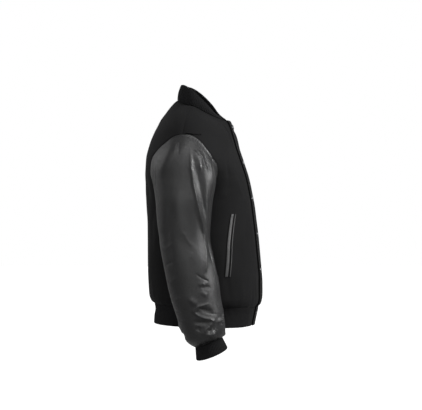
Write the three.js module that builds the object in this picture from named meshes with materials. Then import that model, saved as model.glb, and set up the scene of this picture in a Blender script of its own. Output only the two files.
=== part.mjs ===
import * as THREE from 'three';

// Main sizes in millimetres: x to the wearer's left, y to the back, z up from the base of the neck
const WOOL = 3;
const LEATHER = 2.4;
const RIB = 3.6;
const SEAM_GAP = 0.3;
const TIP_LEVEL = -89;
const NECK_LEVEL = 11;
const ARMPIT_LEVEL = -245;
const HEM_SEAM = -557;
const HEM_EDGE = -609.5;
const HEM_TILT = 0.036;
const RIGHT_REACH = 20;
const LEFT_REACH = 20;
const OVERLAP_STEP = 2;
const OVERLAP_FROM = -41;
const OVERLAP_FULL = -23;
const TAB_REACH = 84;
const DEGREE = Math.PI / 180;

// Body sections: half width, roundness, distance of the front, the back and the widest line
const BODY = [
  { z: -609.5, half: 190, round: 2.4, front: 158, back: 114, middle: -22 },
  { z: -590, half: 187, round: 2.4, front: 162, back: 113, middle: -24 },
  { z: -572, half: 186, round: 2.4, front: 166, back: 110, middle: -26 },
  { z: -557, half: 191, round: 2.4, front: 170, back: 112, middle: -25 },
  { z: -548, half: 203, round: 2.45, front: 176, back: 121, middle: -24 },
  { z: -532, half: 207, round: 2.5, front: 179, back: 126, middle: -22 },
  { z: -487, half: 204, round: 2.5, front: 179, back: 129, middle: -20 },
  { z: -433, half: 200, round: 2.5, front: 175, back: 131, middle: -18 },
  { z: -373, half: 191, round: 2.5, front: 169, back: 132, middle: -14 },
  { z: -315, half: 184, round: 2.5, front: 162, back: 133, middle: -9 },
  { z: -270, half: 182, round: 2.5, front: 156, back: 135, middle: -4 },
  { z: -245, half: 187, round: 2.5, front: 151, back: 136, middle: 0 },
  { z: -225, half: 200, round: 2.4, front: 147, back: 137, middle: 0 },
  { z: -200, half: 228, round: 2.2, front: 141, back: 138, middle: 0 },
  { z: -175, half: 266, round: 2, front: 133, back: 137, middle: 0 },
  { z: -149, half: 276, round: 2, front: 124, back: 134, middle: 0 },
  { z: -123, half: 265, round: 2, front: 115, back: 128, middle: 0 },
  { z: -102, half: 251, round: 2, front: 109, back: 122, middle: 0 },
  { z: -89, half: 240, round: 2, front: 105, back: 117, middle: 0 },
];

// Neck seam and collar edge: half width, y at the side, the back and the front
const NECK = { half: 82, side: 0, back: 53, front: -92, sideRise: -5, backRise: 15, frontRise: -45 };
const NECK_POINT = 1.8;
const NECK_DIP = 3;
const NECK_SLOPE = { side: 19, back: 42, front: 60 };
const COLLAR_EDGE = { half: 72, side: 2, back: 43, front: -65.5 };
const COLLAR_TOP = [
  { y: -66, z: -40 },
  { y: -59, z: -30 },
  { y: -50, z: -18 },
  { y: -36, z: 0 },
  { y: -20, z: 17 },
  { y: -1, z: 35 },
  { y: 16, z: 47 },
  { y: 31, z: 53 },
  { y: 43, z: 54 },
];
const COLLAR_STOP = 32;
const NECK_GAP = 0.5;

// Armhole seen from the side: distance from its middle at each angle, 0 at the top and 90 at the back
const ARMHOLE_MIDDLE = -167;
const ARMHOLE = [
  { turn: 0, far: 76.5 },
  { turn: 22, far: 73.2 },
  { turn: 38, far: 70.6 },
  { turn: 64, far: 77.8 },
  { turn: 86, far: 90 },
  { turn: 105, far: 91 },
  { turn: 132, far: 87 },
  { turn: 158, far: 80 },
  { turn: 180, far: 78 },
  { turn: 202, far: 79 },
  { turn: 228, far: 87 },
  { turn: 249, far: 91 },
  { turn: 265, far: 87.4 },
  { turn: 283, far: 78 },
  { turn: 307, far: 73.6 },
  { turn: 328, far: 76.3 },
  { turn: 345, far: 78.6 },
  { turn: 360, far: 76.5 },
];

// Right sleeve sections: middle x and y, half width across and half depth from front to back
const SLEEVE = [
  { z: -643, x: -265, y: -75.6, across: 33.4, deep: 34.9 },
  { z: -638, x: -266, y: -73, across: 43.4, deep: 43.9 },
  { z: -628, x: -268, y: -68, across: 52.4, deep: 51.4 },
  { z: -612, x: -270, y: -62.5, across: 55.4, deep: 56.9 },
  { z: -578, x: -272, y: -55.5, across: 56.4, deep: 60.8 },
  { z: -532, x: -272, y: -43.6, across: 58.4, deep: 65 },
  { z: -487, x: -270, y: -34.2, across: 59.4, deep: 68.4 },
  { z: -433, x: -266, y: -22.2, across: 60.4, deep: 68.4 },
  { z: -373, x: -258, y: -10.2, across: 61.4, deep: 68 },
  { z: -315, x: -253, y: -6.7, across: 62.4, deep: 72.9 },
  { z: -267, x: -250, y: -6.6, across: 62.4, deep: 76.4 },
  { z: -213, x: -240, y: -6.7, across: 60.4, deep: 85.9 },
];
const CAP_END = { middle: -246, lift: 33 };
const CAP_ARM = { top: 68, side: 44, under: 14 };
const WRIST = -643;
const WRIST_TILT = 13.5;
const WRIST_LEAN = 3;
const SLEEVE_SEAM = 80;
const CUFF = { x: -264, y: -83.7, z: -673, across: 39.5, deep: 41, tilt: 14.5, lean: 9 };
const LEFT_SWING = 84;

// A fold fades over this share of its length at each end, down to a share of its height
const FOLD_END = 0.35;
const END_HEIGHT = 0.15;

// Largest folds of a sleeve: its path in turns and heights, half width and height
const SLEEVE_FOLDS = [
  {
    path: [[-18, -140], [-18, -183], [-24, -231],
      [-37, -284], [-52, -337], [-60, -372]],
    wide: 5.5,
    high: 4.5,
  },
  { path: [[-25, -165], [-31, -215], [-48, -272], [-62, -330]], wide: 6, high: -4 },
  { path: [[-60, -376], [-58, -402], [-48, -430], [-35, -469]], wide: 9, high: 3 },
  { path: [[-33, -136], [-43, -160], [-46, -201], [-50, -221]], wide: 5, high: 3.5 },
  { path: [[-50, -138], [-57, -174], [-56, -205]], wide: 5, high: -3 },
  { path: [[-23, -129], [-32, -166], [-35, -190]], wide: 5, high: 2.5 },
  { path: [[15, -104], [17, -135], [26, -164], [37, -191], [41, -214]], wide: 11, high: 3.5 },
  { path: [[24, -245], [22, -302], [34, -361], [33, -456]], wide: 13, high: -3 },
  { path: [[2, -231], [4, -292], [-8, -357], [-22, -393], [-17, -421]], wide: 12, high: 3.2 },
  { path: [[-36, -486], [-18, -489]], wide: 6, high: 2.5 },
  { path: [[-22, -497], [-50, -493]], wide: 5.5, high: -3 },
  { path: [[-19, -508], [-37, -517]], wide: 6, high: 2.5 },
  { path: [[8, -523], [-2, -536], [-14, -538]], wide: 8, high: 3 },
  {
    path: [[-34, -537], [-10, -546], [2, -560], [-10, -573],
      [-38, -583], [-27, -598], [-12, -614]],
    wide: 6,
    high: 5,
  },
  { path: [[-10, -556], [-44, -558]], wide: 7, high: -4.5 },
  { path: [[12, -588], [-26, -587]], wide: 6.5, high: -5 },
  { path: [[-1, -596], [5, -612]], wide: 6, high: -3 },
  { path: [[-8, -619], [-24, -620], [-44, -613]], wide: 7, high: 4.5 },
  { path: [[-84, -570], [-78, -582], [-50, -587]], wide: 6, high: 3 },
  { path: [[56, -622], [90, -629], [122, -625]], wide: 6.5, high: -8 },
  { path: [[95, -440], [132, -420]], wide: 10, high: -3.5 },
  { path: [[205, -430], [240, -452]], wide: 10, high: -3 },
  { path: [[78, -603], [120, -596]], wide: 9, high: 3.5 },
  { path: [[190, -590], [240, -600]], wide: 9, high: 3 },
];

// Largest folds of the body's right half: path in angles and levels, half width and height
const BODY_FOLDS = [
  { path: [[236, -14], [243, -130]], wide: 12, high: 2.5 },
  { path: [[222, -170], [214, -260]], wide: 16, high: -4 },
  { path: [[126, -180], [138, -280]], wide: 20, high: -4 },
  { path: [[150, -330], [128, -520]], wide: 26, high: 3 },
  { path: [[165, -400], [160, -540]], wide: 18, high: -3 },
  { path: [[196, -380], [190, -530]], wide: 18, high: -3 },
];

// Pocket: where the slit starts and ends, and the strips beside it
const POCKET = { topX: -137.5, topZ: -305, lowX: -177.5, lowZ: -473, thick: 1.8 };
const WELT = { from: -13, to: -2 };
const LIP = { from: 2, to: 6.5 };

// Snaps: height of each on the front edge, and the cap turned from this outline
const SNAP_HEIGHTS = [-64, -163.5, -263, -362.5, -462, -582];
const SNAP_X = -3;
const SNAP_OUTLINE = [
  { r: 6.2, z: 0 },
  { r: 7.5, z: 0.5 },
  { r: 7.5, z: 1.5 },
  { r: 6.1, z: 2.5 },
  { r: 3.2, z: 3.2 },
];
const SNAP_SIDES = 18;

// Knit ribs: distance from one to the next and height
const RIB_PITCH = 8;
const RIB_HEIGHT = 1;

// Rows of a panel below the armpit, beside the armhole and on the shoulder
const LOW_ROWS = 9;
const ARM_ROWS = 9;
const TOP_ROWS = 6;
const FRONT_STEPS = 12;
const BACK_STEPS = 10;

const clamp = (value) => Math.min(1, Math.max(0, value));
const mix = (a, b, t) => a + (b - a) * t;
const ease = (value) => {
  const t = clamp(value);
  return t * t * (3 - 2 * t);
};

// A smooth line through a table's rows that doesn't overshoot them; it may run on at its ends
function track(table, along, column, runsOn = false) {
  const rows = [...table].sort((a, b) => a[along] - b[along]);
  const at = rows.map((row) => row[along]);
  const value = rows.map((row) => row[column]);
  const slope = at.map((_, i) => {
    if (i === 0 || i === at.length - 1) {
      const near = i === 0 ? 1 : i - 1;
      return runsOn ? (value[i] - value[near]) / (at[i] - at[near]) : 0;
    }
    const before = (value[i] - value[i - 1]) / (at[i] - at[i - 1]);
    const after = (value[i + 1] - value[i]) / (at[i + 1] - at[i]);
    return before * after > 0 ? 2 * before * after / (before + after) : 0;
  });
  return (x) => {
    let i = 0;
    while (i < at.length - 2 && x > at[i + 1]) {
      i += 1;
    }
    const span = at[i + 1] - at[i];
    const t = clamp((x - at[i]) / span);
    const rise = t * t * (3 - 2 * t);
    const start = t * (1 - t) * (1 - t) * span * slope[i];
    const end = t * t * (t - 1) * span * slope[i + 1];
    return mix(value[i], value[i + 1], rise) + start + end;
  };
}

const body = {
  half: track(BODY, 'z', 'half', true),
  round: track(BODY, 'z', 'round', true),
  front: track(BODY, 'z', 'front', true),
  back: track(BODY, 'z', 'back', true),
  middle: track(BODY, 'z', 'middle', true),
};
const armholeFar = track(ARMHOLE, 'turn', 'far');
const collarTop = track(COLLAR_TOP, 'y', 'z');
const sleeve = {
  x: track(SLEEVE, 'z', 'x'),
  y: track(SLEEVE, 'z', 'y'),
  across: track(SLEEVE, 'z', 'across'),
  deep: track(SLEEVE, 'z', 'deep'),
};

// Height of a list of folds at a place on the unrolled cloth
function foldHeight(folds, radius, turn, z) {
  let height = 0;
  for (const fold of folds) {
    let nearest = Infinity;
    let place = 0;
    let passed = 0;
    for (let i = 0; i < fold.path.length - 1; i += 1) {
      const [turn1, z1] = fold.path[i];
      const [turn2, z2] = fold.path[i + 1];
      const across = (((turn - turn1 + 540) % 360) - 180) * DEGREE * radius;
      const down = z - z1;
      const run = (turn2 - turn1) * DEGREE * radius;
      const drop = z2 - z1;
      const length = Math.hypot(run, drop);
      const share = clamp((across * run + down * drop) / length ** 2);
      const distance = Math.hypot(across - share * run, down - share * drop);
      if (distance < nearest) {
        nearest = distance;
        place = passed + share * length;
      }
      passed += length;
    }
    const fade = ease(place / passed / FOLD_END) * ease((1 - place / passed) / FOLD_END);
    height += fold.high * mix(END_HEIGHT, 1, fade) * Math.exp(-((nearest / fold.wide) ** 2));
  }
  return height;
}

// The body's plain form below the shoulder tips; angle 0 is the left side, 90 the back, 270 the front
function sectionPoint(angle, level) {
  const cos = Math.cos(angle * DEGREE);
  const sin = Math.sin(angle * DEGREE);
  const middle = body.middle(level);
  const deep = sin < 0 ? body.front(level) + middle : body.back(level) - middle;
  const round = body.round(level);
  const sum = Math.abs(cos / body.half(level)) ** round + Math.abs(sin / deep) ** round;
  const far = sum ** (-1 / round);
  const tilt = HEM_TILT * far * sin * ease((-450 - level) / 100);
  return new THREE.Vector3(far * cos, middle + far * sin, level + tilt);
}

function neckPoint(angle) {
  const cos = Math.cos(angle * DEGREE);
  const sin = Math.sin(angle * DEGREE);
  const reach = sin < 0 ? NECK.side - NECK.front : NECK.back - NECK.side;
  const rise = sin < 0 ? NECK.frontRise : NECK.backRise;
  const pointed = sin < 0 ? -((-sin) ** NECK_POINT) : sin;
  const dip = sin < 0 ? 1 - Math.abs(cos) ** NECK_DIP : sin * sin;
  return new THREE.Vector3(
    NECK.half * cos,
    NECK.side + reach * pointed,
    NECK.sideRise + (rise - NECK.sideRise) * dip,
  );
}

// The shoulders: from the ring of the shoulder tips to the neck seam
function plainBody(angle, level) {
  if (level <= TIP_LEVEL) {
    return sectionPoint(angle, level);
  }
  const t = (level - TIP_LEVEL) / (NECK_LEVEL - TIP_LEVEL);
  const start = sectionPoint(angle, TIP_LEVEL);
  const end = neckPoint(angle);
  const length = start.distanceTo(end);
  const leave = start.clone().sub(sectionPoint(angle, TIP_LEVEL - 2)).setLength(length);
  const sin = Math.sin(angle * DEGREE);
  const steepest = sin < 0 ? NECK_SLOPE.front : NECK_SLOPE.back;
  const slope = mix(NECK_SLOPE.side, steepest, sin * sin) * DEGREE;
  const arrive = new THREE.Vector3(-Math.cos(angle * DEGREE), -sin, 0).multiplyScalar(Math.cos(slope));
  arrive.z = Math.sin(slope);
  arrive.multiplyScalar(length);
  const rise = t * t * (3 - 2 * t);
  return start
    .multiplyScalar(1 - rise)
    .addScaledVector(end, rise)
    .addScaledVector(leave, t * (1 - t) * (1 - t))
    .addScaledVector(arrive, t * t * (t - 1));
}

// The unit direction out of a surface at a place, from two steps beside it
function outward(surface, a, b, stepA, stepB) {
  const alongA = surface(a + stepA, b).sub(surface(a - stepA, b));
  const alongB = surface(a, b + stepB).sub(surface(a, b - stepB));
  return alongA.cross(alongB).normalize();
}

function bodyPoint(angle, level) {
  const right = angle < 90 ? 180 - angle : angle > 270 ? 540 - angle : angle;
  const height = foldHeight(BODY_FOLDS, 150, right, level);
  const plain = plainBody(angle, level);
  return plain.addScaledVector(outward(plainBody, angle, level, 0.5, 0.5), height);
}

const bodyOut = (angle, level) => outward(bodyPoint, angle, level, 0.5, 0.5);

// The direction out of the hem seam, in the seam's own plane
function seamOut(out) {
  const level = new THREE.Vector3(out.x, out.y, 0);
  level.z = HEM_TILT * level.y;
  return level.normalize();
}

// A front with its edge stepped out or in where it laps the other front; angles past 270 reach over
function frontSurface(step) {
  return (angle, level) => {
    const point = bodyPoint(angle, level);
    const share = ease((point.x - OVERLAP_FROM) / (OVERLAP_FULL - OVERLAP_FROM));
    return point.addScaledVector(bodyOut(angle, level), step * share);
  };
}

// The angle at which the body's front or back half has a given x or y
function angleAtX(x, level) {
  let low = 180;
  let high = 300;
  for (let i = 0; i < 40; i += 1) {
    const half = (low + high) / 2;
    if (plainBody(half, level).x < x) {
      low = half;
    } else {
      high = half;
    }
  }
  return (low + high) / 2;
}

function levelAtHeight(angle, z) {
  let low = HEM_EDGE;
  let high = NECK_LEVEL;
  for (let i = 0; i < 40; i += 1) {
    const half = (low + high) / 2;
    if (plainBody(angle, half).z < z) {
      low = half;
    } else {
      high = half;
    }
  }
  return (low + high) / 2;
}

// The armhole on the body: the angle and level of the point at a turn
function armholePlace(turn) {
  const whole = ((turn % 360) + 360) % 360;
  const far = armholeFar(whole);
  const y = far * Math.sin(whole * DEGREE);
  const level = ARMHOLE_MIDDLE + far * Math.cos(whole * DEGREE);
  const middle = body.middle(level);
  const deep = y < middle ? body.front(level) + middle : body.back(level) - middle;
  const round = body.round(level);
  const side = 1 - Math.abs((y - middle) / deep) ** round;
  const x = -body.half(level) * side ** (1 / round);
  const angle = Math.atan2(y - middle, x) / DEGREE;
  return { angle: angle < 0 ? angle + 360 : angle, level };
}

function armholePoint(turn) {
  const place = armholePlace(turn);
  return bodyPoint(place.angle, place.level);
}

// How the sleeve leaves the armhole
function capLeave(turn) {
  const top = Math.max(0, Math.cos(turn * DEGREE));
  return new THREE.Vector3(-0.8, 0, -0.6 - 0.04 * top).normalize();
}

// The seam of the armhole: a shared direction through both walls and one towards the body
function armholeFrame(turn) {
  const place = armholePlace(turn);
  const point = bodyPoint(place.angle, place.level);
  const along = armholePoint(turn + 1).sub(armholePoint(turn - 1)).normalize();
  const bodyNormal = bodyOut(place.angle, place.level);
  const sleeveNormal = along.clone().cross(capLeave(turn)).normalize();
  const out = bodyNormal.add(sleeveNormal).normalize();
  const inward = along.clone().cross(out).normalize();
  if (inward.dot(capLeave(turn)) > 0) {
    inward.negate();
  }
  return { point, out, inward };
}

// The same frame on the straight steps between the rows of the panels
function steppedFrame(turn) {
  const step = 180 / ARM_ROWS;
  const first = Math.floor(turn / step + 1e-6) * step;
  const share = (turn - first) / step;
  const a = armholeFrame(first);
  const b = armholeFrame(first + step);
  return {
    point: a.point.lerp(b.point, share),
    out: a.out.lerp(b.out, share).normalize(),
    inward: a.inward.lerp(b.inward, share).normalize(),
  };
}

// How far a sleeve hangs back from the right one's place at a level
function swingAt(level, swing) {
  return swing * ease((-240 - level) / 330);
}

// The sleeve's tube under the cap; share runs from 0 at the cap to 1 at the wrist
function tubePoint(turn, share, swing) {
  const cos = Math.cos(turn * DEGREE);
  const sin = Math.sin(turn * DEGREE);
  const level = mix(CAP_END.middle + CAP_END.lift * cos, WRIST, share);
  const tilt = -(WRIST_TILT * sin + WRIST_LEAN * cos) * share * share;
  return new THREE.Vector3(
    sleeve.x(level) - sleeve.across(level) * cos,
    sleeve.y(level) + sleeve.deep(level) * sin + swingAt(level, swing),
    level + tilt,
  );
}

// The direction out of the wrist seam, in the seam's own plane
function wristOut(turn) {
  const cos = Math.cos(turn * DEGREE);
  const sin = Math.sin(turn * DEGREE);
  const end = SLEEVE[0];
  const x = -cos / end.across;
  const y = sin / end.deep;
  const z = WRIST_LEAN / end.across * x - WRIST_TILT / end.deep * y;
  return new THREE.Vector3(x, y, z).normalize();
}

// The whole sleeve: 0 to 1 is the cap, 1 to 2 the tube
function plainSleeve(turn, row, swing) {
  if (row >= 1) {
    return tubePoint(turn, row - 1, swing);
  }
  const cos = Math.cos(turn * DEGREE);
  const arm = cos > 0 ? mix(CAP_ARM.side, CAP_ARM.top, cos * cos) : mix(CAP_ARM.side, CAP_ARM.under, cos * cos);
  const start = armholePoint(turn);
  const end = tubePoint(turn, 0, swing);
  const first = start.clone().addScaledVector(capLeave(turn), arm);
  const fall = tubePoint(turn, 0.02, swing).sub(end).normalize();
  const last = end.clone().addScaledVector(fall, -arm);
  const rest = 1 - row;
  return start
    .multiplyScalar(rest * rest * rest)
    .addScaledVector(first, 3 * rest * rest * row)
    .addScaledVector(last, 3 * rest * row * row)
    .addScaledVector(end, row * row * row);
}

function sleevePoint(turn, row, swing) {
  const surface = (a, b) => plainSleeve(a, b, swing);
  const plain = surface(turn, row);
  const fade = ease(row / 0.25) * ease((2 - row) / 0.04);
  const height = fade * foldHeight(SLEEVE_FOLDS, 62, turn, plain.z);
  return plain.addScaledVector(outward(surface, turn, Math.max(row, 0.02), 0.5, 0.01), height);
}

function sleeveOut(turn, row, swing) {
  return outward((a, b) => sleevePoint(a, b, swing), turn, row, 0.5, 0.01);
}

// Pushes the triangles of a quad whose corners are numbered in order
function quad(faces, a, b, c, d) {
  faces.push(a, b, c, a, c, d);
}

// Joins a fine edge to a plainer one with one step for every few of the fine edge's
function stitch(faces, fine, plain, few, turned) {
  const middle = Math.floor(few / 2);
  const put = (a, b, c) => (turned ? faces.push(b, a, c) : faces.push(a, b, c));
  for (let i = 0; i < plain.length - 1; i += 1) {
    for (let m = 0; m < few; m += 1) {
      put(fine[i * few + m], fine[i * few + m + 1], plain[m < middle ? i : i + 1]);
    }
    put(plain[i + 1], plain[i], fine[i * few + middle]);
  }
}

// A closed wall from rows of outer points and rows of inner points
function wall(outer, inner, few, ring) {
  const places = [];
  const number = (rows) => rows.map((row) => {
    const first = places.length;
    row.forEach((point) => places.push(point));
    const numbers = row.map((_, i) => first + i);
    return ring ? [...numbers, first] : numbers;
  });
  const out = number(outer);
  const inside = number(inner);
  const faces = [];
  for (let i = 0; i < out.length - 1; i += 1) {
    for (let j = 0; j < out[i].length - 1; j += 1) {
      quad(faces, out[i][j], out[i][j + 1], out[i + 1][j + 1], out[i + 1][j]);
    }
    for (let j = 0; j < inside[i].length - 1; j += 1) {
      quad(faces, inside[i][j], inside[i + 1][j], inside[i + 1][j + 1], inside[i][j + 1]);
    }
  }
  stitch(faces, out[0], inside[0], few, true);
  stitch(faces, out.at(-1), inside.at(-1), few, false);
  if (!ring) {
    stitch(faces, out.map((row) => row[0]), inside.map((row) => row[0]), 1, false);
    stitch(faces, out.map((row) => row.at(-1)), inside.map((row) => row.at(-1)), 1, true);
  }
  return { places, faces };
}

const MATERIALS = {
  wool: new THREE.MeshStandardMaterial({ color: 0x1b1b1c, roughness: 0.95, metalness: 0 }),
  leather: new THREE.MeshStandardMaterial({ color: 0x2a2a2b, roughness: 0.4, metalness: 0 }),
  knit: new THREE.MeshStandardMaterial({ color: 0x141414, roughness: 0.95, metalness: 0 }),
  metal: new THREE.MeshStandardMaterial({ color: 0x4a4a4c, roughness: 0.35, metalness: 0.9 }),
};

function solid(name, form, material, mirrored) {
  const { places, faces } = form;
  const side = mirrored ? -1 : 1;
  let volume = 0;
  for (let i = 0; i < faces.length; i += 3) {
    const [a, b, c] = [places[faces[i]], places[faces[i + 1]], places[faces[i + 2]]];
    volume += side * a.dot(b.clone().cross(c));
  }
  const order = volume < 0 ? [0, 2, 1] : [0, 1, 2];
  const index = [];
  for (let i = 0; i < faces.length; i += 3) {
    order.forEach((k) => index.push(faces[i + k]));
  }
  const geometry = new THREE.BufferGeometry();
  const flat = places.flatMap((point) => [side * point.x, point.y, point.z]);
  geometry.setAttribute('position', new THREE.Float32BufferAttribute(flat, 3));
  geometry.setIndex(index);
  geometry.computeVertexNormals();
  const mesh = new THREE.Mesh(geometry, MATERIALS[material]);
  mesh.name = name;
  return mesh;
}

// Places evenly spaced along a row between two places on a surface
function evenRow(surface, from, to, steps) {
  const fine = 48;
  const lengths = [0];
  let before = surface(from.angle, from.level);
  for (let i = 1; i <= fine; i += 1) {
    const t = i / fine;
    const point = surface(mix(from.angle, to.angle, t), mix(from.level, to.level, t));
    lengths.push(lengths[i - 1] + point.distanceTo(before));
    before = point;
  }
  const row = [];
  for (let j = 0; j <= steps; j += 1) {
    const want = lengths[fine] * j / steps;
    let i = 0;
    while (i < fine - 1 && lengths[i + 1] < want) {
      i += 1;
    }
    const t = (i + (want - lengths[i]) / (lengths[i + 1] - lengths[i])) / fine;
    row.push({ angle: mix(from.angle, to.angle, clamp(t)), level: mix(from.level, to.level, clamp(t)) });
  }
  return row;
}

const CENTRE_ARMPIT = -232;
const CENTRE_TIP = -96;
const LOW_START = [0, 0.02, 0.05, 0.1];

// The rows of a panel from the hem to the neck, each with its two ends
function panelRows(back, endAngle) {
  const rows = [];
  const lowEdge = HEM_SEAM + SEAM_GAP / 2;
  const topEdge = NECK_LEVEL - SEAM_GAP / 2;
  const lowShares = [...LOW_START];
  for (let i = LOW_START.length; i < LOW_ROWS; i += 1) {
    lowShares.push(mix(0.1, 1, (i - LOW_START.length + 1) / (LOW_ROWS - LOW_START.length + 1)));
  }
  for (const share of lowShares) {
    const level = mix(lowEdge, ARMPIT_LEVEL, share);
    const end = mix(lowEdge, CENTRE_ARMPIT, share);
    const hem = share === 0;
    rows.push({ start: { angle: 180, level }, end: { angle: endAngle(end), level: end }, hem });
  }
  for (let i = 0; i <= ARM_ROWS; i += 1) {
    const share = i / ARM_ROWS;
    const turn = back ? 180 * (1 - share) : 180 * (1 + share);
    const end = mix(CENTRE_ARMPIT, CENTRE_TIP, share);
    rows.push({ start: armholePlace(turn), end: { angle: endAngle(end), level: end }, turn });
  }
  for (let i = 1; i <= TOP_ROWS; i += 1) {
    const share = i / TOP_ROWS;
    const level = mix(armholePlace(0).level, topEdge, share);
    const end = mix(CENTRE_TIP, topEdge, share);
    rows.push({ start: { angle: 180, level }, end: { angle: endAngle(end), level: end } });
  }
  return rows;
}

// Outer and inner points of a panel; its side, armhole and shoulder edges are drawn in by half a gap
function panel(surface, back, endAngle, steps, thickness) {
  const outer = [];
  const inner = [];
  for (const row of panelRows(back, endAngle)) {
    const places = evenRow(surface, row.start, row.end, steps);
    const points = places.map((place) => surface(place.angle, place.level));
    const out = places.map((place) => outward(surface, place.angle, place.level, 0.5, 0.5));
    if (row.hem) {
      out.forEach((direction, j) => { out[j] = seamOut(direction); });
    }
    const drawIn = points[1].clone().sub(points[0]).normalize().multiplyScalar(SEAM_GAP / 2);
    if (row.turn === undefined) {
      points[0].add(drawIn);
    } else {
      const frame = armholeFrame(row.turn);
      out[0] = frame.out;
      points[0].addScaledVector(frame.inward, SEAM_GAP / 2);
      if (row.turn % 180 === 0) {
        points[0].add(drawIn);
      }
    }
    outer.push(points);
    inner.push(points.map((point, j) => point.clone().addScaledVector(out[j], -thickness)));
  }
  return { outer, inner };
}

function frontPanel(reach, step) {
  const surface = frontSurface(step);
  const { outer, inner } = panel(surface, false, (level) => angleAtX(reach, level), FRONT_STEPS, WOOL);
  return wall(outer, inner, 1, false);
}

function backPanel() {
  const { outer, inner } = panel(bodyPoint, true, () => 90, BACK_STEPS, WOOL);
  const mirrored = (rows) => rows.map((row) => {
    const other = row.slice(0, -1).reverse().map((point) => new THREE.Vector3(-point.x, point.y, point.z));
    return [...row, ...other];
  });
  return wall(mirrored(outer), mirrored(inner), 1, false);
}

const CAP_ROWS = 8;
const TUBE_SHARES = [
  0.06, 0.14, 0.22, 0.3, 0.38, 0.46, 0.54, 0.61, 0.67, 0.71, 0.74, 0.77, 0.8, 0.83,
  0.86, 0.89, 0.92, 0.95, 0.975, 0.99, 1,
];

// One piece of a sleeve between two turns
function sleevePiece(from, to, steps, swing) {
  const outer = [];
  const inner = [];
  const rows = [];
  for (let i = 0; i <= CAP_ROWS; i += 1) {
    rows.push(i / CAP_ROWS);
  }
  TUBE_SHARES.forEach((share) => rows.push(1 + share));
  for (const row of rows) {
    const points = [];
    const insides = [];
    for (let j = 0; j <= steps; j += 1) {
      const edge = j === 0 ? 1 : j === steps ? -1 : 0;
      const turn = mix(from, to, j / steps);
      const next = plainSleeve(turn + edge, row, swing).sub(plainSleeve(turn, row, swing));
      const point = sleevePoint(turn, row, swing);
      let out = sleeveOut(turn, Math.max(row, 0.02), swing);
      if (row === 0) {
        const frame = steppedFrame(turn);
        out = frame.out;
        point.copy(frame.point).addScaledVector(frame.inward, -SEAM_GAP / 2);
      }
      if (row === 2) {
        out = wristOut(turn);
        point.z += SEAM_GAP / 2;
      }
      if (edge !== 0) {
        point.addScaledVector(next.normalize(), SEAM_GAP / 2);
      }
      points.push(point);
      insides.push(point.clone().addScaledVector(out, -LEATHER));
    }
    outer.push(points);
    inner.push(insides);
  }
  return wall(outer, inner, 1, false);
}

// Rows of a ribbed band: the inner wall has one step for each rib
function ribbed(rows, ribs, ring, thickness) {
  const outer = [];
  const inner = [];
  const last = ring ? 2 * ribs : 2 * ribs + 1;
  for (const row of rows) {
    const points = [];
    const insides = [];
    for (let j = 0; j < last; j += 1) {
      const { point, out } = row(j / (2 * ribs));
      points.push(point.clone().addScaledVector(out, j % 2 === 1 ? RIB_HEIGHT : 0));
      if (j % 2 === 0) {
        insides.push(point.clone().addScaledVector(out, -thickness));
      }
    }
    outer.push(points);
    inner.push(insides);
  }
  return wall(outer, inner, 2, ring);
}

const HEM_ROWS = [HEM_SEAM - SEAM_GAP / 2, -573, HEM_EDGE];

function hemRib() {
  const from = angleAtX(-TAB_REACH, HEM_EDGE);
  const places = evenRow(
    (angle, level) => plainBody(angle, level),
    { angle: from, level: -580 },
    { angle: 180 - from, level: -580 },
    64,
  );
  const width = 64;
  const angleAt = (share) => {
    const i = Math.min(width - 1, Math.floor(share * width));
    return mix(places[i].angle, places[i + 1].angle, share * width - i);
  };
  const length = 930;
  const ribs = Math.round(length / RIB_PITCH);
  const rows = HEM_ROWS.map((level, i) => (share) => {
    const angle = angleAt(share);
    const out = outward(plainBody, angle, level, 0.5, 0.5);
    return { point: plainBody(angle, level), out: i === 0 ? seamOut(out) : out };
  });
  return ribbed(rows, ribs, false, RIB);
}

function hemTab(reach, step) {
  const surface = frontSurface(step);
  const outer = [];
  const inner = [];
  for (const level of HEM_ROWS) {
    const start = { angle: angleAtX(-TAB_REACH, HEM_EDGE) + 0.2, level };
    const places = evenRow(surface, start, { angle: angleAtX(reach, level), level }, 7);
    const points = places.map((place) => surface(place.angle, place.level));
    outer.push(points);
    inner.push(points.map((point, j) => {
      const out = outward(surface, places[j].angle, places[j].level, 0.5, 0.5);
      return point.clone().addScaledVector(level === HEM_ROWS[0] ? seamOut(out) : out, -WOOL);
    }));
  }
  return wall(outer, inner, 1, false);
}

function collarPoint(angle, rise) {
  const low = neckPoint(angle);
  const cos = Math.cos(angle * DEGREE);
  const sin = Math.sin(angle * DEGREE);
  const reach = sin < 0 ? COLLAR_EDGE.side - COLLAR_EDGE.front : COLLAR_EDGE.back - COLLAR_EDGE.side;
  const y = COLLAR_EDGE.side + reach * sin;
  const top = new THREE.Vector3(COLLAR_EDGE.half * cos, y, collarTop(y));
  const bulge = 2.5 * Math.sin(Math.PI * rise);
  return low.lerp(top, rise).add(new THREE.Vector3(cos * bulge, sin * bulge, 0));
}

// The neck seam on the straight steps between the panels' points
function neckSteps() {
  const level = NECK_LEVEL - SEAM_GAP / 2;
  const start = { angle: 180, level };
  const back = evenRow(bodyPoint, start, { angle: 90, level }, BACK_STEPS);
  const front = evenRow(bodyPoint, start, { angle: angleAtX(RIGHT_REACH, level), level }, FRONT_STEPS);
  return [...back.reverse(), ...front.slice(1)].map((place) => place.angle);
}

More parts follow.
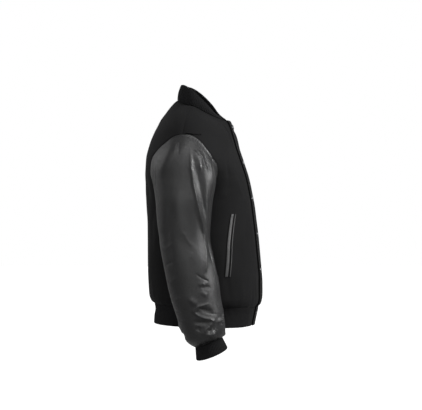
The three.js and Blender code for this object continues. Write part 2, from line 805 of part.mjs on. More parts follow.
function neckEdge(stops, angle) {
  const right = angle < 90 ? 180 - angle : angle;
  let i = 0;
  while (i < stops.length - 2 && stops[i + 1] < right) {
    i += 1;
  }
  const share = (right - stops[i]) / (stops[i + 1] - stops[i]);
  const level = NECK_LEVEL - SEAM_GAP / 2;
  const point = bodyPoint(stops[i], level).lerp(bodyPoint(stops[i + 1], level), share);
  const out = bodyOut(stops[i], level).lerp(bodyOut(stops[i + 1], level), share).normalize();
  if (angle < 90) {
    point.x *= -1;
    out.x *= -1;
  }
  return { point, out };
}

function collar() {
  const stops = neckSteps();
  const spread = Math.acos(COLLAR_STOP / NECK.half) / DEGREE;
  const from = 180 + spread;
  const to = -spread;
  const ribs = 56;
  const rows = [0, 0.3, 0.65, 1].map((rise) => (share) => {
    const angle = mix(from, to, share);
    const point = collarPoint(angle, rise);
    const out = outward(collarPoint, angle, rise, 0.5, 0.02);
    if (rise === 0) {
      const edge = neckEdge(stops, angle);
      const gap = plainBody(angle, NECK_LEVEL).sub(plainBody(angle, NECK_LEVEL - 1)).setLength(NECK_GAP);
      return { point: edge.point.add(gap), out: edge.out };
    }
    return { point, out };
  });
  return ribbed(rows, ribs, false, RIB);
}

function cuffPoint(turn, drop, swing) {
  const cos = Math.cos(turn * DEGREE);
  const sin = Math.sin(turn * DEGREE);
  const top = tubePoint(turn, 1, swing);
  const low = new THREE.Vector3(
    CUFF.x - CUFF.across * cos,
    CUFF.y + CUFF.deep * sin + swing,
    CUFF.z - CUFF.tilt * sin - CUFF.lean * cos,
  );
  return top.lerp(low, drop);
}

function cuff(swing) {
  const surface = (turn, drop) => cuffPoint(turn, drop, swing);
  const rows = [0, 1].map((drop) => (share) => {
    const turn = 360 * share;
    const point = surface(turn, drop);
    let out = outward(surface, turn, drop, 0.5, 0.02);
    if (drop === 0) {
      point.z -= SEAM_GAP / 2;
      out = wristOut(turn);
    }
    return { point, out };
  });
  return ribbed(rows, 30, true, RIB);
}

// A leather strip beside the pocket's slit, a little above the wool
function pocketStrip(strip, steps) {
  const outer = [];
  const inner = [];
  const long = 12;
  for (let i = 0; i <= long; i += 1) {
    const share = i / long;
    const level = mix(POCKET.topZ, POCKET.lowZ, share);
    const slit = angleAtX(mix(POCKET.topX, POCKET.lowX, share), level);
    const perDegree = bodyPoint(slit + 0.5, level).distanceTo(bodyPoint(slit - 0.5, level));
    const tops = [];
    const bottoms = [];
    for (let j = 0; j <= steps; j += 1) {
      const angle = slit + mix(strip.from, strip.to, j / steps) / perDegree;
      const point = bodyPoint(angle, level);
      const out = bodyOut(angle, level);
      tops.push(point.clone().addScaledVector(out, SEAM_GAP + POCKET.thick));
      bottoms.push(point.clone().addScaledVector(out, SEAM_GAP));
    }
    outer.push(tops);
    inner.push(bottoms);
  }
  return wall(outer, inner, 1, false);
}

// A snap cap turned about the direction out of the left front
function snap(height) {
  const surface = frontSurface(OVERLAP_STEP);
  const level = levelAtHeight(270, height);
  const angle = angleAtX(-SNAP_X, level);
  const middle = surface(angle, level);
  const out = outward(surface, angle, level, 0.5, 0.5);
  const side = new THREE.Vector3(1, 0, 0).cross(out).normalize();
  const up = out.clone().cross(side);
  const places = [];
  const put = (r, z, turn) => places.push(
    middle.clone()
      .addScaledVector(out, SEAM_GAP + z)
      .addScaledVector(side, r * Math.cos(turn))
      .addScaledVector(up, r * Math.sin(turn)),
  );
  for (const ring of SNAP_OUTLINE) {
    for (let i = 0; i < SNAP_SIDES; i += 1) {
      put(ring.r, ring.z, 2 * Math.PI * i / SNAP_SIDES);
    }
  }
  put(0, 0, 0);
  put(0, 3.5, 0);
  const rings = SNAP_OUTLINE.length;
  const faces = [];
  for (let i = 0; i < SNAP_SIDES; i += 1) {
    const next = (i + 1) % SNAP_SIDES;
    for (let k = 0; k < rings - 1; k += 1) {
      const low = k * SNAP_SIDES;
      const high = low + SNAP_SIDES;
      quad(faces, low + i, low + next, high + next, high + i);
    }
    const top = (rings - 1) * SNAP_SIDES;
    faces.push(rings * SNAP_SIDES, next, i);
    faces.push(rings * SNAP_SIDES + 1, top + i, top + next);
  }
  return { places, faces };
}

const jacket = new THREE.Group();
jacket.name = 'jacket';
jacket.add(solid('back', backPanel(), 'wool', false));
jacket.add(solid('front_right', frontPanel(RIGHT_REACH, -OVERLAP_STEP), 'wool', false));
jacket.add(solid('front_left', frontPanel(LEFT_REACH, OVERLAP_STEP), 'wool', true));
jacket.add(solid('collar', collar(), 'knit', false));
jacket.add(solid('hem_rib', hemRib(), 'knit', false));
jacket.add(solid('hem_tab_right', hemTab(RIGHT_REACH, -OVERLAP_STEP), 'wool', false));
jacket.add(solid('hem_tab_left', hemTab(LEFT_REACH, OVERLAP_STEP), 'wool', true));
for (const [side, mirrored] of [['right', false], ['left', true]]) {
  const swing = mirrored ? LEFT_SWING : 0;
  const top = sleevePiece(-SLEEVE_SEAM, SLEEVE_SEAM, 16, swing);
  const under = sleevePiece(SLEEVE_SEAM, 360 - SLEEVE_SEAM, 10, swing);
  jacket.add(solid(`sleeve_top_${side}`, top, 'leather', mirrored));
  jacket.add(solid(`sleeve_under_${side}`, under, 'leather', mirrored));
  jacket.add(solid(`cuff_${side}`, cuff(swing), 'knit', mirrored));
  jacket.add(solid(`pocket_welt_${side}`, pocketStrip(WELT, 2), 'leather', mirrored));
  jacket.add(solid(`pocket_lip_${side}`, pocketStrip(LIP, 1), 'leather', mirrored));
}
SNAP_HEIGHTS.forEach((height, i) => {
  jacket.add(solid(`snap_${i + 1}`, snap(height), 'metal', true));
});

export default jacket;
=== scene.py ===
# %% [markdown]
# # A varsity jacket with a wool body and leather sleeves
#
# The jacket is worn, so its cloth keeps the hollow form of the body that fills it. Every visible
# piece of cloth is rebuilt here as a thin, fine sheet on the form of its plain solid, with the creases
# laid where the real ones run. Sizes are in millimetres until a mesh is made: x runs to the
# wearer's left, y to the back and z up from the base of the neck.

# %% Start
import math

import bmesh
import bpy
import numpy as np
from mathutils import Matrix, Vector


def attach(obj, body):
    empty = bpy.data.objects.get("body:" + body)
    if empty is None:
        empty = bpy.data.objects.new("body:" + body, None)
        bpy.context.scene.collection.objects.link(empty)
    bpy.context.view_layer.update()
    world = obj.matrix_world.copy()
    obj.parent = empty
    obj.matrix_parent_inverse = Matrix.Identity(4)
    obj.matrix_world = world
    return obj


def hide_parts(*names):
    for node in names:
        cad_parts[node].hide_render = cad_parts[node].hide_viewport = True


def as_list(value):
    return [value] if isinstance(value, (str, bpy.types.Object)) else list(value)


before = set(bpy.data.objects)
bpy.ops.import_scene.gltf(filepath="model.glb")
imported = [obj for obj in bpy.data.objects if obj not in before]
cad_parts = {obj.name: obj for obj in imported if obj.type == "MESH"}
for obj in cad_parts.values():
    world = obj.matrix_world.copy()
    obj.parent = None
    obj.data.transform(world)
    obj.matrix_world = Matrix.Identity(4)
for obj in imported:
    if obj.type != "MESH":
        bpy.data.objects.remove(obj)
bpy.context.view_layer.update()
bpy.ops.object.select_all(action="DESELECT")
MM = 0.001

# %% [markdown]
# ## Camera
#
# A long lens from five metres away keeps the two sleeves nearly the same size, as in a studio
# picture of clothes. The camera stands level on the wearer's right, a little forward of the pure side
# view, and its lens is worked out from the size that one picture point has at the jacket.

# %% Camera
CAMERA_TURN = math.radians(9)
CAMERA_AWAY = 5.0
AIM_ASIDE = 0.039
AIM_HEIGHT = -0.280
SENSOR = 36
MM_ACROSS = 1181.6

away = Vector((-math.cos(CAMERA_TURN), -math.sin(CAMERA_TURN), 0))
aside = Vector((math.sin(CAMERA_TURN), -math.cos(CAMERA_TURN), 0))
camera_data = bpy.data.cameras.new("camera")
camera_data.sensor_width = SENSOR
camera_data.lens = SENSOR * CAMERA_AWAY / (MM_ACROSS * MM)
camera = bpy.data.objects.new("camera", camera_data)
bpy.context.scene.collection.objects.link(camera)
camera.location = aside * AIM_ASIDE + Vector((0, 0, AIM_HEIGHT)) + away * CAMERA_AWAY
camera.rotation_euler = (-away).to_track_quat("-Z", "Y").to_euler()
bpy.context.scene.camera = camera
print("lens", round(camera_data.lens, 1), "mm")

# %% [markdown]
# ## Smooth lines through short tables
#
# A tailor's form is a stack of sections. Each table row below is one section, and a monotone cubic
# runs through the rows of a column: it is smooth like a spline, but it never bulges past a row, so a
# sleeve that narrows in the table doesn't swell between two rows.

# %% Small helpers
def unit(vectors):
    """The vectors with a length of one."""
    return vectors / np.linalg.norm(vectors, axis=-1, keepdims=True)


def ease(value):
    """A soft step from 0 to 1."""
    t = np.clip(value, 0, 1)
    return t * t * (3 - 2 * t)


def mix(a, b, t):
    return a + (b - a) * t


def cos(turn):
    return np.cos(np.radians(turn))


def sin(turn):
    return np.sin(np.radians(turn))


def spots(x, y, z):
    """Places from their three coordinates, each an array or one number."""
    return np.stack(np.broadcast_arrays(x, y, z), axis=-1).astype(float)


def track(at, value, runs_on=False):
    """A smooth line through a table's rows that doesn't overshoot them; it may run on at its ends."""
    order = np.argsort(at)
    at, value = np.array(at, float)[order], np.array(value, float)[order]
    steps = np.diff(value) / np.diff(at)
    slope = np.zeros(len(at))
    both = steps[:-1] * steps[1:]
    total = np.where(both > 0, steps[:-1] + steps[1:], 1)
    slope[1:-1] = np.where(both > 0, 2 * both / total, 0)
    if runs_on:
        slope[0], slope[-1] = steps[0], steps[-1]

    def line(x):
        x = np.clip(x, at[0], at[-1])
        i = np.clip(np.searchsorted(at, x) - 1, 0, len(at) - 2)
        span = at[i + 1] - at[i]
        t = (x - at[i]) / span
        bends = t * (1 - t) ** 2 * span * slope[i] + t * t * (t - 1) * span * slope[i + 1]
        return mix(value[i], value[i + 1], t * t * (3 - 2 * t)) + bends

    return line


def tracks(columns, rows, runs_on=False):
    """One smooth line for each column of a table, along its first column."""
    at = [row[0] for row in rows]
    return {name: track(at, [row[i] for row in rows], runs_on) for i, name in enumerate(columns)}


# %% [markdown]
# ## The form of the body
#
# Below the shoulder tips the body is a stack of rounded sections. Above them each line runs from the
# ring of the shoulder tips to the neck seam on one soft curve. The wool blouses over the tighter rib
# at the hem, which is what the quick change of the lowest sections makes.

# %% Body sections
BODY = tracks(
    ("z", "half", "round", "front", "back", "middle"),
    [
        (-609.5, 190, 2.4, 158, 114, -22),
        (-590, 187, 2.4, 162, 113, -24),
        (-572, 186, 2.4, 166, 110, -26),
        (-557, 191, 2.4, 170, 112, -25),
        (-548, 203, 2.45, 176, 121, -24),
        (-532, 207, 2.5, 179, 126, -22),
        (-487, 204, 2.5, 179, 129, -20),
        (-433, 200, 2.5, 175, 131, -18),
        (-373, 191, 2.5, 169, 132, -14),
        (-315, 184, 2.5, 162, 133, -9),
        (-270, 182, 2.5, 156, 135, -4),
        (-245, 187, 2.5, 151, 136, 0),
        (-225, 200, 2.4, 147, 137, 0),
        (-200, 228, 2.2, 141, 138, 0),
        (-175, 266, 2, 133, 137, 0),
        (-149, 276, 2, 124, 134, 0),
        (-123, 265, 2, 115, 128, 0),
        (-102, 251, 2, 109, 122, 0),
        (-89, 240, 2, 105, 117, 0),
    ],
    runs_on=True,
)
TIP_LEVEL = -89
NECK_LEVEL = 11
ARMPIT_LEVEL = -245
HEM_SEAM = -557
HEM_EDGE = -609.5
HEM_TILT = 0.036
NECK_HALF, NECK_SIDE, NECK_BACK, NECK_FRONT = 82, 0, 53, -92
NECK_SIDE_RISE, NECK_BACK_RISE, NECK_FRONT_RISE = -5, 15, -45
NECK_POINT = 1.8
NECK_DIP = 3
SLOPE_SIDE, SLOPE_BACK, SLOPE_FRONT = 19, 42, 60


def section_point(angle, level):
    """A place on the body below the shoulder tips; angle 0 is the left side, 90 the back."""
    middle = BODY["middle"](level)
    deep = np.where(sin(angle) < 0, BODY["front"](level) + middle, BODY["back"](level) - middle)
    power = BODY["round"](level)
    total = np.abs(cos(angle) / BODY["half"](level)) ** power + np.abs(sin(angle) / deep) ** power
    far = total ** (-1 / power)
    tilt = HEM_TILT * far * sin(angle) * ease((-450 - level) / 100)
    return spots(far * cos(angle), middle + far * sin(angle), level + tilt)


def neck_point(angle):
    """A place on the neck seam, which is pointed at the front like every collar seam."""
    ahead = sin(angle) < 0
    reach = np.where(ahead, NECK_SIDE - NECK_FRONT, NECK_BACK - NECK_SIDE)
    rise = np.where(ahead, NECK_FRONT_RISE, NECK_BACK_RISE) - NECK_SIDE_RISE
    across = np.where(ahead, -(np.abs(sin(angle)) ** NECK_POINT), sin(angle))
    dip = np.where(ahead, 1 - np.abs(cos(angle)) ** NECK_DIP, sin(angle) ** 2)
    return spots(NECK_HALF * cos(angle), NECK_SIDE + reach * across, NECK_SIDE_RISE + rise * dip)


def plain_body(angle, level):
    """The whole body's form without its folds, from the hem to the neck seam."""
    angle, level = np.broadcast_arrays(np.asarray(angle, float), np.asarray(level, float))
    tips = np.full(angle.shape, float(TIP_LEVEL))
    t = np.clip((level - TIP_LEVEL) / (NECK_LEVEL - TIP_LEVEL), 0, None)[..., None]
    start, end = section_point(angle, tips), neck_point(angle)
    length = np.linalg.norm(end - start, axis=-1, keepdims=True)
    leave = unit(start - section_point(angle, tips - 2)) * length
    steepest = np.where(sin(angle) < 0, SLOPE_FRONT, SLOPE_BACK)
    slope = mix(SLOPE_SIDE, steepest, sin(angle) ** 2)
    arrive = spots(-cos(angle) * cos(slope), -sin(angle) * cos(slope), sin(slope)) * length
    rise = t * t * (3 - 2 * t)
    shoulder = start * (1 - rise) + end * rise + leave * t * (1 - t) ** 2 + arrive * t * t * (t - 1)
    below = section_point(angle, np.minimum(level, TIP_LEVEL))
    return np.where((level <= TIP_LEVEL)[..., None], below, shoulder)


def outward(surface, a, b, step_a, step_b):
    """The unit direction out of a surface, from two small steps beside a place."""
    along = surface(a + step_a, b) - surface(a - step_a, b)
    up = surface(a, b + step_b) - surface(a, b - step_b)
    return unit(np.cross(along, up))


# %% [markdown]
# ## Folds laid one by one
#
# A fold is a short path on the unrolled cloth with a width and a height; a trough has a negative
# height. The height of the cloth at a place is the sum of a soft bell over each fold, by the shortest
# way to its path, and each fold fades towards its two ends. That gives creases that run, bend and end
# as drawn, which noise alone never does. Wool takes round bells; leather breaks into sharper crests.

# %% Folds
FOLD_END, CREASE_END = 0.35, 0.14
END_HEIGHT = 0.15
CREST_ROUND, CREST_STEEP = 0.3, 1.5


def fold_height(folds, radius, turn, z, crisp=False):
    """Height of a list of folds at places on the unrolled cloth."""
    height = np.zeros(np.broadcast(turn, z).shape)
    for path, wide, high in folds:
        nearest, place, passed = np.full(height.shape, np.inf), np.zeros(height.shape), 0
        for (turn1, z1), (turn2, z2) in zip(path[:-1], path[1:]):
            across = np.radians((turn - turn1 + 540) % 360 - 180) * radius
            run, drop, down = math.radians(turn2 - turn1) * radius, z2 - z1, z - z1
            length = math.hypot(run, drop)
            share = np.clip((across * run + down * drop) / length**2, 0, 1)
            distance = np.hypot(across - share * run, down - share * drop)
            place = np.where(distance < nearest, passed + share * length, place)
            nearest = np.minimum(nearest, distance)
            passed += length
        end = CREASE_END if crisp else FOLD_END
        fade = ease(place / passed / end) * ease((1 - place / passed) / end)
        far = nearest / wide
        crest = np.exp((CREST_ROUND - np.hypot(far, CREST_ROUND)) * CREST_STEEP)
        height += high * mix(END_HEIGHT, 1, fade) * (crest if crisp else np.exp(-(far**2)))
    return height


# Large folds of the body's right half: path in angles and levels, half width, height
BODY_FOLDS = [
    ([(236, -14), (243, -130)], 12, 2.5),
    ([(222, -170), (214, -260)], 16, -4),
    ([(126, -180), (138, -280)], 20, -4),
    ([(150, -330), (128, -520)], 26, 3),
    ([(165, -400), (160, -540)], 18, -3),
    ([(196, -380), (190, -530)], 18, -3),
]
# Finer creases that only this model has
BODY_CREASES = [
    ([(242, -22), (247, -66), (250, -104)], 4.5, 1.3),
    ([(232, -30), (236, -84), (240, -128)], 5, -1.1),
    ([(214, -150), (219, -206), (216, -250)], 7, -1.6),
    ([(226, -196), (238, -262)], 9, 1.2),
    ([(252, -232), (246, -330), (252, -420)], 12, 1.1),
    ([(236, -300), (232, -400)], 9, -1),
    ([(262, -360), (257, -470), (262, -540)], 10, -1.2),
    ([(246, -470), (249, -545)], 7, 1.2),
    ([(238, -500), (236, -548)], 5, -1),
    ([(222, -480), (220, -548)], 7, 1.4),
    ([(206, -450), (209, -545)], 6, -1.2),
    ([(178, -300), (182, -420)], 9, 1.2),
    ([(170, -470), (174, -545)], 6, 1.4),
    ([(152, -250), (140, -330), (143, -430)], 9, -1.6),
    ([(120, -210), (112, -330)], 11, 1.5),
    ([(128, -96), (118, -170), (122, -240)], 9, 1.2),
    ([(104, -420), (108, -540)], 8, -1.3),
    ([(140, -480), (143, -546)], 6, 1.3),
    ([(96, -60), (112, -44), (140, -60)], 8, 1.2),
]
BODY_RADIUS = 150


def body_point(angle, level, creases=()):
    """A place on the body's outside, folds included; the left half mirrors the right one's."""
    right = np.where(angle < 90, 180 - angle, np.where(angle > 270, 540 - angle, angle))
    height = fold_height(BODY_FOLDS + list(creases), BODY_RADIUS, right, level)
    return plain_body(angle, level) + outward(plain_body, angle, level, 0.5, 0.5) * height[..., None]


# %% [markdown]
# ## Where the fronts overlap
#
# The left front laps over the right one. Both follow the same form, one stepped two millimetres out
# and the other two millimetres in, from a little before the middle.

# %% Fronts and the places on them
REACH = 20
OVERLAP_STEP = 2
OVERLAP_FROM, OVERLAP_FULL = -41, -23
CENTRE_ARMPIT, CENTRE_TIP = -232, -96


def front_surface(step, creases=()):
    """A front with its edge stepped out or in where it laps the other one."""

    def surface(angle, level):
        point = body_point(angle, level, creases)
        share = ease((point[..., :1] - OVERLAP_FROM) / (OVERLAP_FULL - OVERLAP_FROM))
        return point + outward(plain_body, angle, level, 0.5, 0.5) * step * share

    return surface


def angle_at_x(x, level):
    """The angle at which the front has a given x."""
    low, high = np.full(np.shape(level), 180.0), np.full(np.shape(level), 300.0)
    for _ in range(40):
        half = (low + high) / 2
        short = plain_body(half, level)[..., 0] < x
        low, high = np.where(short, half, low), np.where(short, high, half)
    return (low + high) / 2


def level_at_height(angle, height):
    """The level of the form that lies at a height."""
    low, high = float(HEM_EDGE), float(NECK_LEVEL)
    for _ in range(40):
        half = (low + high) / 2
        if plain_body(angle, half)[2] < height:
            low = half
        else:
            high = half
    return (low + high) / 2


# %% [markdown]
# ## The armhole and the sleeve
#
# Both the body panels and the sleeves end on one shared line, the armhole seam. A sleeve is a cap,
# which leaves the seam and bends down, and a tube that falls from the cap to the wrist. Turn 0 is the
# outer side of the arm, 90 its back and 180 the side towards the body.

# %% Armhole
ARMHOLE_MIDDLE = -167
ARMHOLE_FAR = track(
    [0, 22, 38, 64, 86, 105, 132, 158, 180, 202, 228, 249, 265, 283, 307, 328, 345, 360],
    [76.5, 73.2, 70.6, 77.8, 90, 91, 87, 80, 78, 79, 87, 91, 87.4, 78, 73.6, 76.3, 78.6, 76.5],
)


def armhole_place(turn):
    """The angle and level of the armhole seam on the body at a turn."""
    far = ARMHOLE_FAR(np.mod(turn, 360))
    y, level = far * sin(turn), ARMHOLE_MIDDLE + far * cos(turn)
    middle, power = BODY["middle"](level), BODY["round"](level)
    deep = np.where(y < middle, BODY["front"](level) + middle, BODY["back"](level) - middle)
    side = np.clip(1 - np.abs((y - middle) / deep) ** power, 0, 1)
    x = -BODY["half"](level) * side ** (1 / power)
    return np.degrees(np.arctan2(y - middle, x)) % 360, level


def armhole_point(turn):
    return body_point(*armhole_place(turn))


def cap_leave(turn):
    """The direction in which the sleeve leaves the armhole."""
    return unit(spots(-0.8, 0, -0.6 - 0.04 * np.clip(cos(turn), 0, None)))


def armhole_out(turn):
    """The direction out of the armhole seam, between the body's and the sleeve's own."""
    along = unit(armhole_point(turn + 1) - armhole_point(turn - 1))
    of_sleeve = unit(np.cross(along, cap_leave(turn)))
    return unit(outward(body_point, *armhole_place(turn), 0.5, 0.5) + of_sleeve)


# %% Sleeve sections
SLEEVE = tracks(
    ("z", "x", "y", "across", "deep"),
    [
        (-643, -265, -75.6, 33.4, 34.9),
        (-638, -266, -73, 43.4, 43.9),
        (-628, -268, -68, 52.4, 51.4),
        (-612, -270, -62.5, 55.4, 56.9),
        (-578, -272, -55.5, 56.4, 60.8),
        (-532, -272, -43.6, 58.4, 65),
        (-487, -270, -34.2, 59.4, 68.4),
        (-433, -266, -22.2, 60.4, 68.4),
        (-373, -258, -10.2, 61.4, 68),
        (-315, -253, -6.7, 62.4, 72.9),
        (-267, -250, -6.6, 62.4, 76.4),
        (-213, -240, -6.7, 60.4, 85.9),
    ],
)
CAP_MIDDLE, CAP_LIFT = -246, 33
ARM_TOP, ARM_SIDE, ARM_UNDER = 68, 44, 14
WRIST = -643
WRIST_TILT, WRIST_LEAN = 13.5, 3
SLEEVE_SEAM = 80
LEFT_SWING = 84
SLEEVE_RADIUS = 62


def tube_point(turn, share, swing):
    """The sleeve under its cap; share runs from 0 at the cap to 1 at the wrist."""
    level = mix(CAP_MIDDLE + CAP_LIFT * cos(turn), WRIST, share)
    return spots(
        SLEEVE["x"](level) - SLEEVE["across"](level) * cos(turn),
        SLEEVE["y"](level) + SLEEVE["deep"](level) * sin(turn) + swing * ease((-240 - level) / 330),
        level - (WRIST_TILT * sin(turn) + WRIST_LEAN * cos(turn)) * share * share,
    )


def plain_sleeve(turn, row, swing):
    """The whole sleeve without its folds: rows 0 to 1 are the cap, 1 to 2 the tube."""
    turn, row = np.broadcast_arrays(np.asarray(turn, float), np.asarray(row, float))
    c = cos(turn)
    arm = np.where(c > 0, mix(ARM_SIDE, ARM_TOP, c * c), mix(ARM_SIDE, ARM_UNDER, c * c))[..., None]
    start, end = armhole_point(turn), tube_point(turn, 0 * turn, swing)
    first = start + cap_leave(turn) * arm
    last = end - unit(tube_point(turn, 0 * turn + 0.02, swing) - end) * arm
    t = np.clip(row, 0, 1)[..., None]
    rest = 1 - t
    cap = start * rest**3 + first * 3 * rest**2 * t + last * 3 * rest * t**2 + end * t**3
    tube = tube_point(turn, np.clip(row - 1, 0, 1), swing)
    return np.where((row >= 1)[..., None], tube, cap)


# %% [markdown]
# ## The sleeve's creases
#
# Stiff leather doesn't ripple like cloth. It breaks into a few long ridges that run down from the
# shoulder, and into short zigzag creases where the sleeve is too long and piles up over the cuff. The
# first list repeats the solids' large folds, and the second adds the finer creases between them.

# %% Sleeve folds
SLEEVE_FOLDS = [
    ([(-18, -140), (-18, -183), (-24, -231), (-37, -284), (-52, -337), (-60, -372)], 5, 2.4),
    ([(-27, -165), (-34, -215), (-50, -272), (-66, -336)], 8, -4.6),
    ([(-60, -376), (-58, -402), (-48, -430), (-35, -469)], 9, 1),
    ([(-84, -350), (-80, -400), (-66, -450)], 12, -3),
    ([(-33, -136), (-43, -160), (-46, -196)], 5, 1.8),
    ([(-50, -138), (-57, -174), (-56, -205)], 5, -3),
    ([(-23, -129), (-32, -166), (-35, -190)], 5, 2.5),
    ([(15, -104), (17, -135), (26, -164), (37, -191), (41, -214)], 12, 3),
    ([(24, -245), (22, -302), (34, -361), (33, -456)], 13, -3),
    ([(2, -231), (4, -292), (-8, -357), (-22, -393), (-17, -421)], 12, 1.4),
    ([(-36, -486), (-18, -489)], 6, 1.4),
    ([(-22, -497), (-50, -493)], 5.5, -1.8),
    ([(-19, -508), (-37, -517)], 6, 1.4),
    ([(8, -523), (-2, -536), (-14, -538)], 8, 3),
    ([(-34, -537), (-10, -546), (2, -560), (-10, -573), (-38, -583), (-27, -598), (-12, -614)], 5, 2.2),
    ([(-10, -556), (-44, -558)], 7, -3.5),
    ([(12, -588), (-26, -587)], 6, -4.4),
    ([(-1, -596), (5, -612)], 6, -3),
    ([(-8, -619), (-24, -620), (-44, -613)], 7, 4.5),
    ([(-84, -570), (-78, -582), (-50, -587)], 6, 3),
    ([(56, -622), (90, -629), (122, -625)], 6.5, -8),
    ([(95, -440), (132, -420)], 10, -3.5),
    ([(205, -430), (240, -452)], 10, -3),
    ([(78, -603), (120, -596)], 9, 3.5),
    ([(190, -590), (240, -600)], 9, 3),
]
SLEEVE_CREASES = [
    ([(-18, -134), (-18, -183), (-24, -231), (-31, -258), (-41, -300), (-50, -330), (-57, -364)], 3.7, 3.5),
    ([(-57, -352), (-58, -402), (-50, -432), (-40, -462)], 4.5, 1.5),
    ([(-34, -134), (-42, -154), (-44, -178)], 3.2, 1.7),
    ([(-26, -134), (-33, -164), (-36, -190)], 2.6, 1.6),
    ([(-66, -150), (-67, -176), (-66, -204)], 2, 0.9),
    ([(-40, -150), (-39, -172)], 2.2, -1.2),
    ([(2, -112), (4, -150)], 3, -0.8),
    ([(9, -112), (12, -146)], 2.4, 0.7),
    ([(62, -173), (59, -198), (66, -231)], 2.4, 1),
    ([(70, -168), (68, -200), (73, -240)], 2.4, -1),
    ([(-6, -350), (-14, -372), (-22, -388)], 4, 1.1),
    ([(-20, -404), (-16, -421)], 4, 0.9),
    ([(-20, -461), (-29, -471), (-46, -480)], 3, -1.6),
    ([(-34, -469), (-44, -448), (-52, -424)], 4, 1.1),
    ([(-36, -538), (-24, -542), (-10, -546), (-3, -553), (2, -560), (-1, -567), (-10, -573)], 2.8, 2.8),
    ([(-10, -573), (-21, -577), (-32, -579), (-38, -584), (-36, -590), (-27, -598)], 2.8, 2.8),
    ([(-27, -598), (-18, -605), (-12, -614)], 3, 2.3),
    ([(-30, -606), (-22, -611)], 2.4, -1.8),
    ([(-10, -618), (-24, -620), (-38, -616)], 3, 1.5),
    ([(-84, -568), (-80, -581), (-62, -583), (-50, -587)], 2.8, 1.9),
    ([(-58, -590), (-74, -592)], 3, -2),
    ([(-24, -562), (-52, -566)], 2.6, -1),
    ([(-9, -552), (-30, -553)], 2.4, -1.2),
    ([(20, -380), (44, -396), (70, -392)], 5, 0.9),
    ([(30, -430), (60, -440)], 4, -0.9),
    ([(26, -470), (52, -486), (76, -480)], 5, 1),
    ([(26, -522), (52, -534), (76, -530)], 5, 1.2),
    ([(26, -556), (48, -562), (76, -556)], 4, -1.3),
    ([(30, -580), (50, -588), (74, -584)], 4, 1.4),
    ([(14, -628), (40, -634), (62, -636)], 3.6, 1.2),
    ([(92, -180), (110, -232), (112, -280)], 7, 1.6),
    ([(128, -300), (118, -370)], 8, -1.4),
    ([(100, -392), (130, -400), (160, -392)], 5, 1.6),
    ([(104, -470), (134, -486)], 6, 1.3),
    ([(200, -400), (226, -412), (262, -404)], 5, 1.7),
    ([(210, -466), (244, -478), (272, -470)], 5, 1.4),
    ([(96, -560), (124, -570), (156, -560)], 5, 1.9),
    ([(130, -614), (160, -620)], 4.5, -1.8),
    ([(196, -556), (226, -566), (262, -556)], 5, 1.8),
    ([(204, -622), (236, -616), (268, -622)], 4.5, 1.8),
]

# %% [markdown]
# ## From a grid of places to a sheet of cloth
#
# Cloth is made in the order of real work: a flat sheet of small squares on the form, then its
# thickness. Solidify moves a copy of the sheet inwards and closes the edges, and a small bevel rounds
# them, so two panels that meet leave the fine groove of a seam. Panels touch, so no light comes
# through. The bulk of the two turned-in layers also pulls the cloth down beside a seam.

# %% Sheets
WOOL, LEATHER, RIB = 3, 2.4, 3.6
EDGE_ROUND = 0.8


def grid_faces(rows, columns, ring=False):
    """Four-cornered faces of a grid, wrapped round if it is a ring."""
    number = np.arange(rows * columns).reshape(rows, columns)
    if ring:
        number = np.hstack([number, number[:, :1]])
    corners = [number[:-1, :-1], number[:-1, 1:], number[1:, 1:], number[1:, :-1]]
    return np.stack([corner.ravel() for corner in corners], axis=1)


def facing_out(places, faces, outs):
    """The faces in the order that makes them look outwards."""
    a, b, d = places[faces[:, 0]], places[faces[:, 1]], places[faces[:, 3]]
    agree = np.einsum("ij,ij->i", np.cross(b - a, d - a), outs[faces[:, 0]]).sum()
    return faces if agree > 0 else faces[:, ::-1]


def new_piece(name, places, faces, material):
    """An object from places in millimetres, with its place in its mesh."""
    mesh = bpy.data.meshes.new(name)
    mesh.from_pydata((places * MM).tolist(), [], [list(face) for face in faces])
    mesh.materials.append(material)
    mesh.update()
    piece = bpy.data.objects.new(name, mesh)
    bpy.context.scene.collection.objects.link(piece)
    return piece


def apply_modifiers(piece):
    """Applies every modifier of a piece with the operator that a person would use."""
    bpy.ops.object.select_all(action="DESELECT")
    bpy.context.view_layer.objects.active = piece
    piece.select_set(True)
    for name in [modifier.name for modifier in piece.modifiers]:
        bpy.ops.object.modifier_apply(modifier=name)
    bpy.ops.object.shade_smooth_by_angle(angle=math.radians(50))
    piece.select_set(False)


def cloth_sheet(name, points, outs, thickness, material):
    """A sheet of cloth with its thickness, from rows of places on its outside."""
    rows, columns = points.shape[:2]
    places, directions = points.reshape(-1, 3), outs.reshape(-1, 3)
    faces = facing_out(places, grid_faces(rows, columns), directions)
    piece = new_piece(name, places, faces, material)
    area = sum(polygon.area for polygon in piece.data.polygons)
    wall = piece.modifiers.new("wall", "SOLIDIFY")
    wall.thickness = thickness * MM
    wall.offset = -1
    rounding = piece.modifiers.new("edges", "BEVEL")
    rounding.width = EDGE_ROUND * MM
    rounding.segments = 2
    rounding.limit_method = "ANGLE"
    rounding.angle_limit = math.radians(60)
    apply_modifiers(piece)
    print(name, len(piece.data.polygons), "faces,", round(area, 4), "m2 of cloth")
    return piece


def seam_dip(points, directions, distance, depth, wide):
    """Pulls the cloth in beside a seam, less with the distance from it."""
    return points - directions * (depth * np.exp(-((distance / wide) ** 2)))[..., None]


# %% [markdown]
# ## Shader maths as plain expressions
#
# A wrapped socket lets a bump height be written as a sum of its layers. Every operator adds one Math
# node, and every other node comes from one method with its settings and its inputs.

